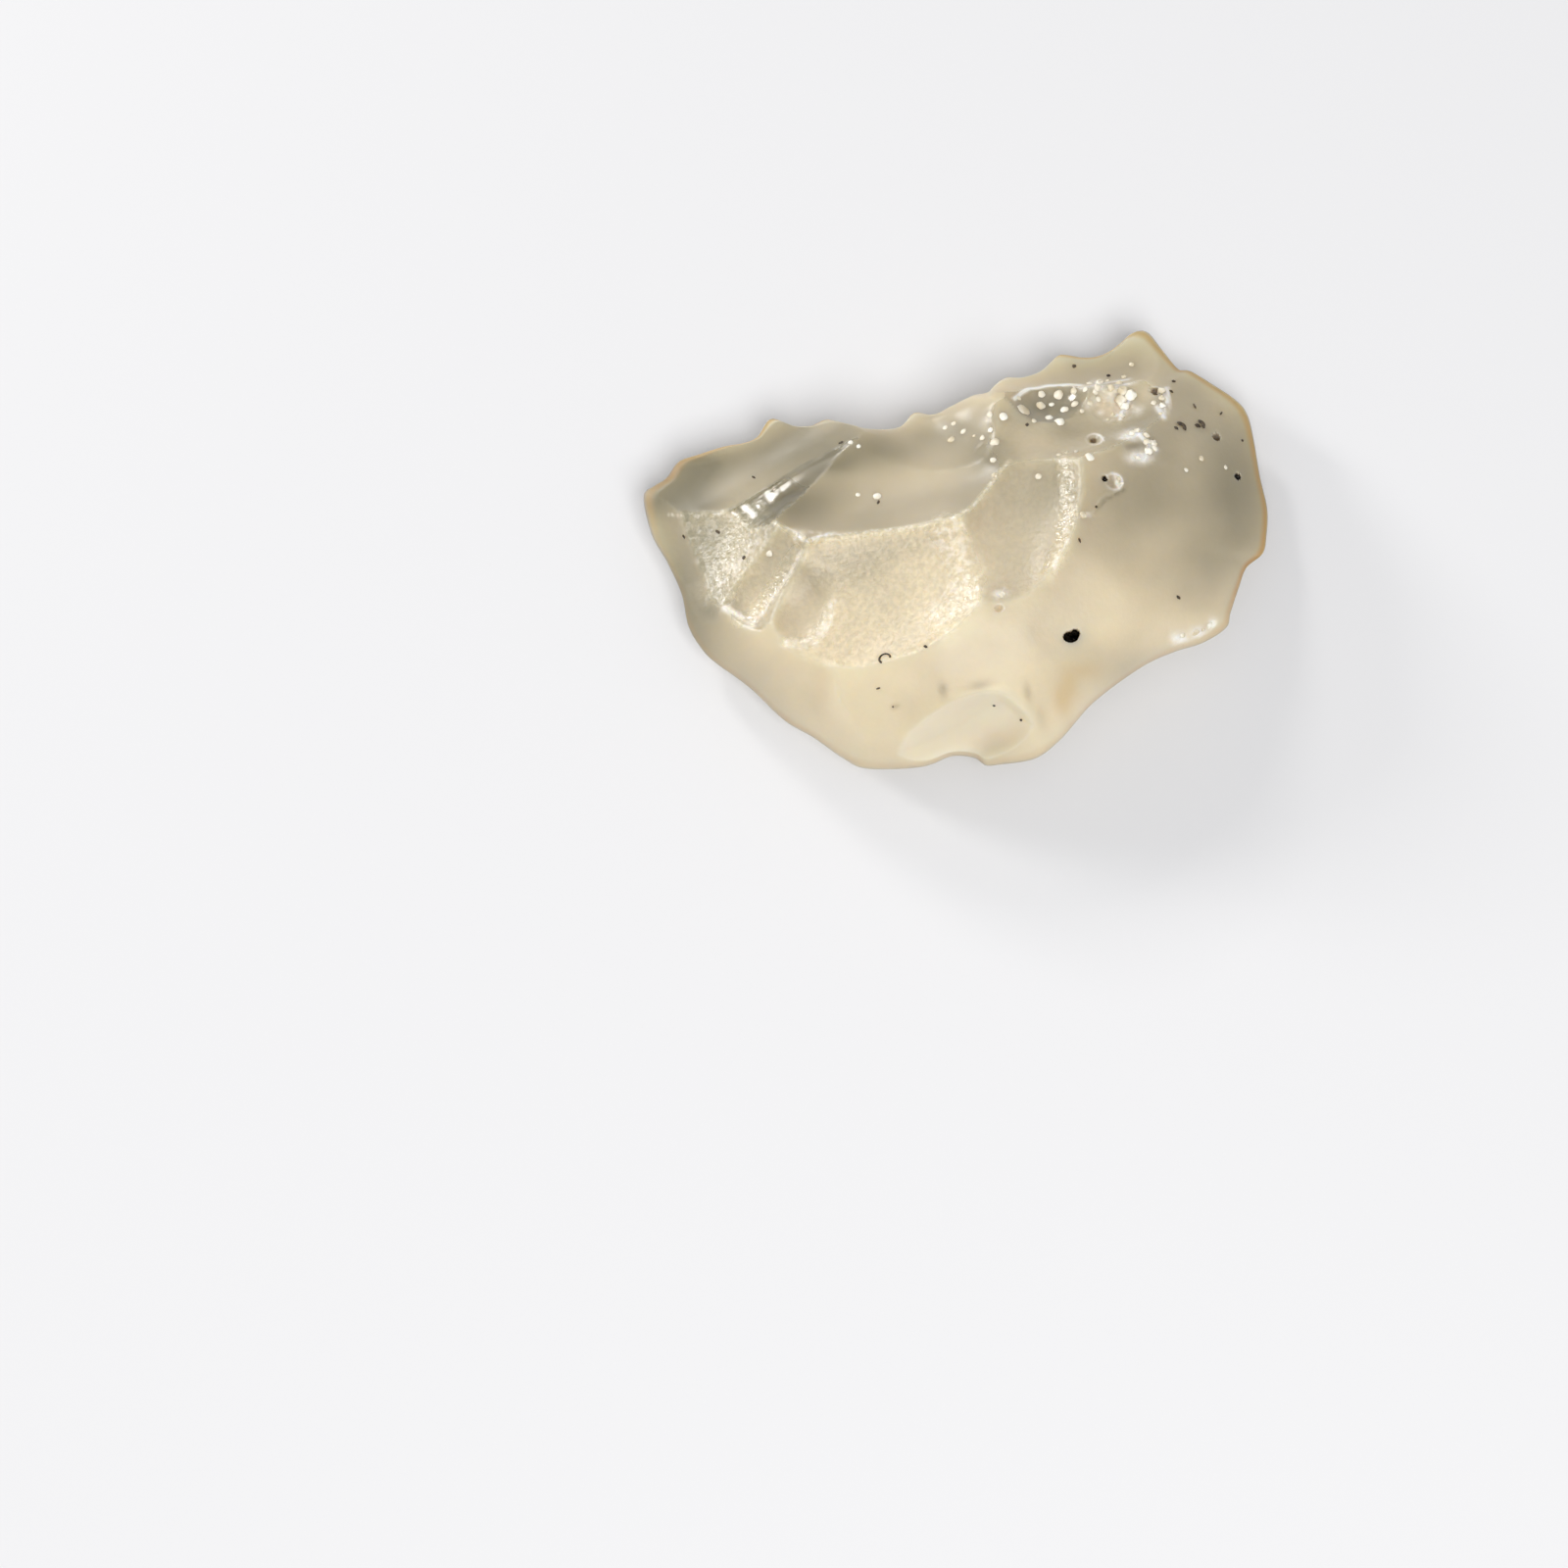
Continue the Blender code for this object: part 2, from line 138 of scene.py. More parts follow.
# Narrow ridges and furrows that cross a scar: points along the top, height and half-width
FOLDS = {
    "streak_1": ([(-12.4, 5.0), (-12.1, 4.5)], 0.010, 0.08),
    "streak_2": ([(-11.9, 4.8), (-11.5, 4.1)], 0.010, 0.10),
    "streak_3": ([(-11.4, 4.9), (-11.1, 4.5), (-10.8, 4.1)], 0.012, 0.16),
    "streak_4": ([(-10.7, 4.8), (-10.4, 4.4)], 0.008, 0.08),
    "streak_5": ([(-10.0, 5.4), (-9.8, 4.8)], 0.012, 0.14),
    "streak_6": ([(-9.6, 5.5), (-9.5, 5.2)], 0.010, 0.08),
    "furrow_1": ([(-11.6, 4.85), (-11.35, 4.3)], -0.020, 0.06),
    "furrow_2": ([(-10.9, 4.85), (-10.7, 4.35)], -0.020, 0.06),
    "furrow_3": ([(-10.3, 5.0), (-10.1, 4.6)], -0.020, 0.06),
    "furrow_4": ([(-9.7, 5.4), (-9.6, 5.0)], -0.020, 0.06),
    "streak_7": ([(-9.2, 5.7), (-9.0, 4.9)], 0.020, 0.12),
    "streak_8": ([(-8.4, 6.0), (-8.2, 5.1)], 0.024, 0.14),
    "streak_9": ([(-7.5, 6.2), (-7.3, 5.5)], 0.020, 0.12),
    "undercut": (
        [(-12.0, 4.7), (-10.5, 5.1), (-9.5, 5.5), (-8.6, 6.0), (-7.0, 6.5), (-5.3, 7.1)], -0.12, 0.16,
    ),
    "split_ridge": (
        [(-9.9, 3.1), (-9.4, 2.5), (-8.6, 2.2), (-7.6, 2.0), (-6.7, 1.75), (-5.4, 1.6)], 0.06, 0.09,
    ),
    "knuckle": ([(-8.6, 1.6), (-8.1, 1.3), (-7.6, 1.4)], 0.12, 0.16),
    "left_lip": (
        [(-14.8, 5.4), (-14.5, 4.2), (-14.3, 2.9), (-14.05, 1.6), (-13.8, 0.4), (-13.4, -0.4)],
        0.05, 0.12,
    ),
    "right_wall": ([(6.5, 3.6), (6.35, 1.6), (6.1, 0.2), (5.3, -1.4), (4.2, -2.7)], 0.08, 0.42),
    "ring_lip": ([(12.4, 7.5), (12.3, 6.9), (12.1, 6.4), (11.85, 5.9), (11.8, 5.4)], 0.08, 0.13),
    "ledge": ([(9.0, 7.8), (9.9, 7.9), (10.8, 8.05), (11.6, 7.9)], 0.06, 0.10),
    "pocket_lip": (
        [(4.2, 8.1), (4.7, 8.45), (5.2, 8.75), (6.2, 8.85), (7.3, 8.7), (7.9, 8.45)], 0.08, 0.12,
    ),
    "bowl_side": ([(10.4, 7.5), (10.2, 6.9), (9.7, 6.3), (9.6, 5.7)], 0.12, 0.12),
    "star_side": ([(10.0, 4.9), (10.4, 4.3), (10.6, 3.9), (10.6, 3.4)], 0.10, 0.12),
    "front_crease": ([(-7.9, -5.6), (-8.0, -7.2), (-7.5, -8.6), (-6.8, -9.6)], 0.14, 0.45),
    "crease_valley": ([(-8.8, -6.0), (-8.8, -7.4), (-8.3, -8.8)], -0.16, 0.60),
    "lip_ridge": (
        [(-4.8, -9.5), (-3.3, -9.0), (-1.5, -8.6), (-0.3, -8.2), (0.8, -8.4), (2.0, -9.6)], 0.08, 0.30,
    ),
    "small_ledge": (
        [(8.5, 1.35), (8.0, 1.15), (7.5, 0.95), (7.1, 0.6), (6.9, 0.2), (6.3, 0.0)], 0.07, 0.09,
    ),
    "edge_scallop": ([(-14.4, 8.1), (-13.6, 8.0), (-12.8, 8.0), (-12.2, 8.1)], 0.03, 0.14),
    "right_crease": ([(15.0, 0.6), (13.9, -0.6), (13.5, -2.0)], 0.05, 0.45),
}

# Where later breaks ended a scar: two places on each straight edge, with the scar on the right as
# seen going from the first to the second, and how steep the end is
ENDS = {
    "long_flute": [((-11.7, -2.15), (-13.4, -0.45), 1.6)],
    "front_lip": [((0.4, -8.4), (1.8, -9.8), 3.0), ((-5.2, -9.9), (-1.6, -9.0), 1.6)],
}

# Where a ridge is worn away to a soft swell: place, reach, how far
SOFT_RIDGES = [
    ((0.4, -1.3), (1.7, 2.0), 0.80), ((-0.8, 6.6), (3.5, 1.2), 0.50),
    ((-9.5, -4.2), (2.5, 1.0), 0.40), ((-7.2, -0.6), (1.2, 1.6), 0.50),
    ((2.2, 5.0), (1.2, 1.4), 0.40),
]

# Scars of the underside, which stands clear of the ground towards the rim
UNDER_SCARS = [
    ((-11.0, 3.0, 1.15), (6.0, 7.0, 9.0), (188, 10, 0)),
    ((11.5, 2.3, 1.2), (6.0, 7.0, 9.0), (180, -10, 0)),
    ((1.0, 8.0, 1.55), (8.0, 4.0, 7.0), (194, 0, 0)),
]

# Where a scar is frosted more than the rest of it: place, reach, how much
FROSTED = [((-7.0, 6.1), (1.9, 1.5), 1.0)]

# Soft hollows that wind and sand wore: place, reach along X and Y, depth
WORN_HOLLOWS = [
    ((11.4, -0.6), (3.0, 2.2), 0.45),
    ((13.0, -3.9), (1.2, 1.5), 0.60),
    ((-9.6, -7.0), (2.2, 1.6), 0.35),
]

# Random waves, each of a height, a spacing and a seed: the swells of the blown skin, how far the
# scars wander and, within a reach of them, the ridges between, how ragged a scar's border is, and
# the fine relief of coarse grain and of smooth skin
SWELLS = [(0.20, 4.5, 3.0), (0.05, 1.6, 11.0)]
WANDER = [(0.20, 3.4, 21.0)]
RIDGE_WANDER = [(0.07, 0.9, 27.0), (0.045, 0.35, 33.0)]
WANDER_REACH = 0.20
RAGGED = [(0.05, 0.55, 67.0), (0.03, 0.25, 71.0)]
GRAIN_WAVES = [(0.008, 0.45, 41.0), (0.005, 0.28, 47.0)]
SKIN_WAVES = [(0.008, 0.80, 53.0), (0.002, 0.35, 59.0)]
# Sets the waves that move a scar along Y apart from those that move it along X
OTHER_WAVES = (0, 0, 40)

# Bubbles that broke open: place, half-axes, depth, how much dark dust they hold, how white the
# rim is, painted lighter on its lit right side and shaded on its left, and how round the hollow is,
# from 0.5 for a ball to 1 for a dish
PITS = {
    "great_pit": ((4.6, -6.05), (0.42, 0.29), 0.60, 0.95, 0.0, 0.5),
    "great_pit_end": ((4.84, -5.92), (0.27, 0.23), 0.50, 0.95, 0.0, 0.5),
    "bowl_pit": ((9.25, 6.7), (1.20, 1.10), 0.28, 0.0, 0.1, 1.0),
    "star_pit": ((9.9, 3.9), (0.66, 1.15), 0.24, 0.0, 0.3, 1.0),
    "back_tube": ((11.75, 7.3), (0.26, 0.26), 0.50, 0.6, 0.1, 0.5),
    "ring_pit": ((7.85, 4.7), (0.42, 0.42), 0.16, 0.0, 0.8, 1.0),
    "ring_hole": ((7.8, 4.7), (0.20, 0.20), 0.30, 0.6, 0.0, 0.5),
    "side_pit": ((8.3, 1.8), (0.45, 0.45), 0.22, 0.0, 0.8, 1.0),
    "side_hole": ((7.85, 2.0), (0.16, 0.15), 0.35, 1.0, 0.0, 0.5),
    "right_hole": ((14.55, 4.25), (0.22, 0.22), 0.30, 0.7, 0.0, 0.5),
    "edge_hole": ((15.3, 2.0), (0.19, 0.19), 0.30, 1.0, 0.1, 0.5),
    "crest_hole": ((1.1, -4.2), (0.26, 0.22), 0.14, 0.1, 0.3, 1.0),
}

# Where the glass is milkier and lighter, or clearer and darker where the value is negative, partly
# as the glass is and partly painted shade and painted light where light falls less or more: place,
# reach, how much
CLOUDS_AND_SHADE = [
    ((-14.0, 8.0), (1.8, 0.6), -0.40),
    ((-12.0, 7.6), (4.2, 1.3), -0.25),
    ((-7.5, 8.3), (3.0, 1.6), -0.30),
    ((-14.6, 7.0), (2.0, 1.5), -0.40),
    ((-16.3, 6.5), (0.8, 1.0), -0.40),
    ((-15.4, 1.0), (2.0, 5.5), -0.70),
    ((-12.6, -4.5), (2.2, 3.0), -0.16),
    ((-8.6, 3.9), (2.6, 1.6), -0.45),
    ((-4.0, 6.4), (3.5, 1.2), -0.40),
    ((0.6, 7.2), (2.2, 1.4), -0.20),
    ((2.4, 4.8), (1.5, 1.5), -0.42),
    ((6.0, 7.2), (2.6, 1.2), -0.30),
    ((10.2, 5.4), (3.0, 2.4), -0.28),
    ((13.6, 7.3), (1.3, 1.3), -0.25),
    ((11.2, 7.0), (0.8, 0.8), 0.20),
    ((7.5, -1.6), (2.0, 1.6), -0.20),
    ((-13.4, 5.6), (1.8, 0.7), -0.20),
    ((2.5, -9.6), (0.35, 0.7), -0.15),
    ((9.6, 9.6), (4.2, 1.7), -0.35),
    ((15.6, 1.5), (3.6, 5.5), -0.50),
    ((9.5, 1.0), (3.0, 2.5), -0.35),
    ((12.8, -2.6), (1.3, 1.1), -0.12),
    ((9.2, 6.9), (1.0, 0.9), 0.50),
    ((9.8, 3.8), (0.55, 0.22), -0.25),
    ((-6.5, -0.1), (3.0, 1.4), -0.20),
    ((4.6, 2.4), (2.0, 1.6), -0.14),
    ((0.1, -10.5), (1.9, 0.75), -0.20),
    ((-2.5, -7.7), (0.25, 0.35), -0.30),
    ((-0.5, -7.8), (0.60, 0.25), -0.30),
    ((1.9, -8.5), (0.22, 0.50), -0.22),
    ((-5.1, -8.0), (0.25, 0.15), -0.25),
    ((11.5, -3.5), (3.0, 2.5), -0.16),
    ((7.0, -7.4), (2.6, 1.0), -0.22),
    ((5.5, 2.4), (1.4, 2.0), -0.14),
    ((-11.5, -1.0), (0.8, 0.8), 0.25),
    ((-13.2, 3.8), (0.9, 1.2), -0.18),
    ((-6.1, 5.9), (1.0, 0.5), -0.25),
    ((6.6, 5.5), (1.0, 0.8), -0.16),
    ((1.2, -0.1), (0.9, 1.0), 0.14),
    ((0.9, -2.0), (0.8, 0.9), 0.14),
    ((9.6, -1.4), (1.4, 1.1), 0.12),
    ((-13.9, -0.4), (0.5, 0.8), -0.20),
    ((-2.7, 0.4), (2.0, 0.7), -0.14),
    ((14.3, 0.8), (1.3, 2.4), -0.12),
]

# Where ochre sand has stained the glass: place, reach, how much
STAINS = [
    ((3.7, -9.0), (0.5, 0.7), 0.6), ((4.2, -8.3), (0.5, 0.6), 0.5), ((5.1, -7.7), (1.0, 0.4), 0.4),
    ((3.6, 8.4), (0.7, 0.5), 0.5),
]

# Where the glass is white, mostly crushed white glass and partly painted glints on lit facets and
# corners: place, reach, how much
CRUSHED_AND_GLINTS = [
    ((9.9, 6.8), (0.22, 0.55), 0.9), ((9.4, 6.2), (0.35, 0.15), 0.7),
    ((12.2, 6.6), (0.14, 0.45), 0.8), ((11.9, 7.4), (0.35, 0.12), 0.7),
    ((8.4, 1.7), (0.14, 0.40), 0.9), ((8.7, 8.5), (0.30, 0.25), 0.8),
    ((1.3, -3.5), (0.40, 0.30), 0.7), ((-8.6, 1.8), (0.40, 0.30), 0.5),
    ((10.6, -6.4), (0.50, 0.25), 0.8), ((11.7, -6.2), (0.45, 0.25), 0.9),
    ((12.5, -5.9), (0.25, 0.30), 0.8), ((6.3, 0.0), (0.45, 0.14), 0.6),
    ((-5.4, 7.0), (0.50, 0.14), 0.5), ((9.85, 4.5), (0.60, 0.36), 1.0),
    ((9.2, 7.4), (0.50, 0.35), 0.45), ((8.4, 7.3), (0.25, 0.20), 0.5),
    ((10.0, 8.0), (0.60, 0.15), 0.5), ((11.9, 5.9), (0.20, 0.30), 0.7),
    ((8.6, 6.5), (0.25, 0.20), 0.45), ((9.0, 5.9), (0.30, 0.20), 0.4),
    ((10.6, 6.3), (0.30, 0.40), 0.4), ((-12.0, -1.8), (0.45, 0.30), 0.6),
    ((9.95, 3.1), (0.62, 0.42), 1.0), ((10.8, 3.5), (0.22, 0.22), 0.9),
    ((8.0, 8.2), (0.30, 0.25), 0.6), ((9.9, 7.1), (0.35, 0.45), 0.75),
    ((8.7, 8.0), (0.25, 0.25), 0.9), ((8.1, 7.0), (0.35, 0.30), 0.4),
]

# Lines of white, partly crushed white glass on chipped ridges and bubble rims and partly painted
# glints, highlights and sparkle where light catches: points along it, half-width, how white
WHITE_AND_GLINT_LINES = [
    ([(12.4, 7.4), (12.3, 6.9), (12.1, 6.5)], 0.12, 0.8),
    ([(11.6, 6.3), (11.7, 5.9), (11.8, 5.5)], 0.16, 0.8),
    ([(10.2, 4.6), (10.6, 3.9), (10.9, 3.4)], 0.12, 1.0),
    ([(4.2, 8.0), (4.7, 8.45), (5.2, 8.75), (6.2, 8.85), (7.3, 8.7), (7.9, 8.45)], 0.10, 1.0),
    ([(8.3, 8.2), (9.3, 8.35), (10.5, 8.4)], 0.07, 0.9),
    ([(-13.3, -0.6), (-12.6, -1.3), (-11.8, -2.1)], 0.22, 0.7),
    # Painted sparkle over the lit parts of the left scar, the great scar's end and the right scar's
    # wall
    ([(-13.4, 0.6), (-12.0, 1.7), (-10.7, 2.8)], 0.80, 0.30),
    ([(-1.0, 0.7), (-0.5, -0.8), (-0.2, -2.1), (-0.8, -3.3), (-2.0, -4.0)], 0.95, 0.29),
    ([(6.0, 3.7), (5.9, 1.8), (5.7, 0.4), (5.1, -1.2), (4.3, -2.4)], 0.32, 0.34),
    # Painted glints on the streaks of the groove, and the glint at the top of the grain pocket
    ([(-11.95, 4.75), (-11.7, 4.25)], 0.05, 0.9),
    ([(-11.35, 4.85), (-11.15, 4.5), (-10.9, 4.15)], 0.20, 1.0),
    ([(-10.65, 4.75), (-10.5, 4.5)], 0.06, 0.9),
    ([(-9.95, 5.35), (-9.85, 5.0), (-9.8, 4.75)], 0.18, 1.0),
    ([(-9.55, 5.45), (-9.5, 5.25)], 0.06, 0.8),
    ([(8.7, 8.1), (8.9, 8.6)], 0.14, 1.0),
    # Painted glint along the lit crescent at the end of the short flute
    ([(-7.6, -1.9), (-7.8, -2.9), (-8.6, -3.7), (-9.3, -3.9), (-10.2, -3.6)], 0.30, 0.45),
    ([(10.3, 7.4), (10.1, 6.8), (9.7, 6.3), (9.6, 5.8)], 0.10, 0.9),
    (
        [(-9.9, 3.1), (-9.4, 2.5), (-8.7, 2.1), (-7.6, 1.8), (-6.5, 1.5), (-3.6, 1.25), (-0.8, 1.0)],
        0.06, 0.4,
    ),
    ([(-0.8, 1.0), (0.6, 1.6), (1.8, 2.9), (3.1, 4.1)], 0.05, 0.4),
    ([(-15.4, 5.6), (-14.3, 5.2), (-12.5, 4.8)], 0.06, 0.4),
    ([(-11.7, -2.0), (-10.9, -1.3), (-10.0, -0.4), (-9.3, 0.3), (-8.7, 0.9)], 0.16, 0.4),
    ([(-8.5, 1.6), (-8.1, 1.3), (-7.6, 1.45), (-6.8, 1.6)], 0.10, 0.8),
]

# Painted shade in thin furrows, below the overhanging ridge and between the glints of the groove,
# made by clearer, darker glass: points along it, half-width, how much clearer the glass is
PAINTED_SHADE_LINES = [
    (
        [(-12.0, 4.85), (-10.5, 5.2), (-9.5, 5.65), (-8.6, 6.1), (-7.8, 6.4), (-6.8, 6.6), (-5.4, 7.1)],
        0.09, 1.0,
    ),
    ([(-11.6, 4.85), (-11.35, 4.3)], 0.06, 1.0),
    ([(-10.9, 4.85), (-10.7, 4.35)], 0.07, 1.0),
    ([(-10.3, 5.0), (-10.1, 4.6)], 0.05, 0.8),
    ([(-9.7, 5.4), (-9.6, 5.0)], 0.05, 0.8),
    ([(8.7, 1.25), (8.1, 1.0), (7.5, 0.75), (7.2, 0.4)], 0.08, 0.25),
]

# Bands of coarse, sparkling grain with little frost: points along the middle, half-width and how
# coarse
SPARKLES = [
    ([(5.9, 3.7), (5.8, 1.8), (5.6, 0.4), (5.0, -1.2), (4.2, -2.4)], 0.46, 1.0),
    ([(-0.9, 0.7), (-0.5, -0.8), (0.0, -2.2), (-0.6, -3.4), (-1.8, -4.3)], 0.85, 1.0),
    ([(-13.3, 0.4), (-12.6, 1.6), (-11.6, 3.2), (-11.0, 4.2)], 1.10, 1.0),
    ([(-12.5, -1.5), (-11.6, -1.6), (-11.0, -0.9), (-9.6, 0.5), (-9.0, 1.0)], 0.55, 0.9),
    ([(-7.7, -2.1), (-8.2, -3.2), (-9.2, -3.8), (-10.2, -3.5)], 0.40, 0.8),
    ([(8.7, 7.1), (9.5, 6.8), (9.4, 6.2)], 0.60, 0.6),
    (
        [(-9.9, 3.1), (-9.2, 2.3), (-8.2, 1.4), (-5.0, 1.3), (-0.8, 1.0), (0.6, 1.6), (3.1, 4.1)],
        0.15, 0.9,
    ),
]

# How finely the ball is cut: all of it, its upper half, and where ridges, lines and pits lie
BALL_SUBDIVISIONS = 6
BACK_CUTS = 2
BACK_STARTS = -0.10
FINE_FROM = 0.5
PIT_LIP = 1.5

# How far a white ridge and the white ring of a pit reach, the ring's brightness on its left, where
# it is painted in shade, the frost that a sparkling band and dust take away, and how far out a pit's
# dust ends
RIDGE_REACH = 0.06
RING_REACH = 0.16
RING_SHADED_LEFT = 0.2
FROST_LOST = 0.85
DUST_POLISH = 0.8
DUST_EDGE = (1.1, 0.9)

# How fast the least thickness grows from the rim inwards, and where the relief dies out at the rim
EDGE_RISE = 0.6
RIM_CLOSE = (0.972, 0.996)

# The height of a scar beside its ellipsoid, far above the flake
NOWHERE = 99.0


def smooth_line(points, steps):
    """The closed smooth line through the points, as steps for each stretch."""
    start = np.array(points)
    before = np.roll(start, 1, axis=0)
    end = np.roll(start, -1, axis=0)
    after = np.roll(start, -2, axis=0)
    stretches = []
    for step in range(steps):
        t = step / steps
        place = 2 * start + (end - before) * t
        place += (2 * before - 5 * start + 4 * end - after) * t**2
        place += (3 * start - before - 3 * end + after) * t**3
        stretches.append(place / 2)
    return np.stack(stretches, axis=1).reshape(-1, 2)


def ease(value, start, end):
    """0 before start, 1 after end and a smooth step between."""
    t = np.clip((value - start) / (end - start), 0, 1)
    return t * t * (3 - 2 * t)


def soft_spot(x, y, middle, reach):
    """1 at the middle of an oval spot, fading to nothing about twice its reach away."""
    return np.exp(-(((x - middle[0]) / reach[0]) ** 2) - ((y - middle[1]) / reach[1]) ** 2)


def bite(x, y, place, half_axes, lean):
    """The lower and upper heights of a leaning ellipsoid over each point, nan beside it."""
    turn = np.array(Euler([math.radians(angle) for angle in lean]).to_matrix())
    centre = np.array(place) + turn @ np.array((0, 0, half_axes[2]))
    shape = turn @ np.diag(1 / np.array(half_axes) ** 2) @ turn.T
    dx = x - centre[0]
    dy = y - centre[1]
    steep = shape[2, 2]
    slope = shape[0, 2] * dx + shape[1, 2] * dy
    flat = shape[0, 0] * dx**2 + 2 * shape[0, 1] * dx * dy + shape[1, 1] * dy**2 - 1
    under_root = slope**2 - steep * flat
    root = np.sqrt(np.where(under_root > 0, under_root, np.nan))
    return centre[2] + (-slope - root) / steep, centre[2] + (-slope + root) / steep


def from_line(x, y, points):
    """How far each point is from a line through the given points."""
    nearest = np.full(len(x), np.inf)
    for start, end in zip(points, points[1:]):
        run = np.array(end) - np.array(start)
        length = math.hypot(*run)
        share = np.clip(((x - start[0]) * run[0] + (y - start[1]) * run[1]) / length**2, 0, 1)
        off = np.hypot(x - start[0] - run[0] * share, y - start[1] - run[1] * share)
        nearest = np.minimum(nearest, off)
    return nearest


def worn_lower(a, b, wear):
    """The lower of two heights, with the ridge where they meet worn round."""
    mix = np.clip(0.5 + 0.5 * (b - a) / wear, 0, 1)
    return b + (a - b) * mix - wear * mix * (1 - mix)


def waves_over(places, waves):
    """The summed height of random waves, each of a height, a spacing and a seed."""
    total = np.zeros(len(places))
    for height, spacing, seed in waves:
        for number, (x, y, z) in enumerate(places / spacing):
            total[number] += height * noise.noise((x + seed, y, z))
    return total


def ridge_gap(x, y, crown):
    """How far the two lowest surfaces are from each other: nothing where a ridge runs."""
    lowest = crown.copy()
    second = np.full(len(x), NOWHERE)
    for place, half_axes, lean, _ in SCARS.values():
        low, high = bite(x, y, place, half_axes, lean)
        low = np.where(np.isnan(low) | (high < crown), NOWHERE, low)
        second = np.minimum(second, np.maximum(lowest, low))
        lowest = np.minimum(lowest, low)
    return second - lowest


rim_x, rim_y = smooth_line(RIM, RIM_STEPS).T
rim_angle = np.arctan2(rim_y, rim_x)
in_turn = np.argsort(rim_angle)
compass = np.linspace(-math.pi, math.pi, RIM_READINGS, endpoint=False)
chipped_rim = np.interp(
    compass, rim_angle[in_turn], np.hypot(rim_x, rim_y)[in_turn], period=math.tau
)
ripples = np.fft.rfft(chipped_rim)
spread = np.arange(len(ripples)) * math.radians(CALM_DEGREES)
calm_rim = np.fft.irfft(ripples * np.exp(-(spread**2) / 2), RIM_READINGS)


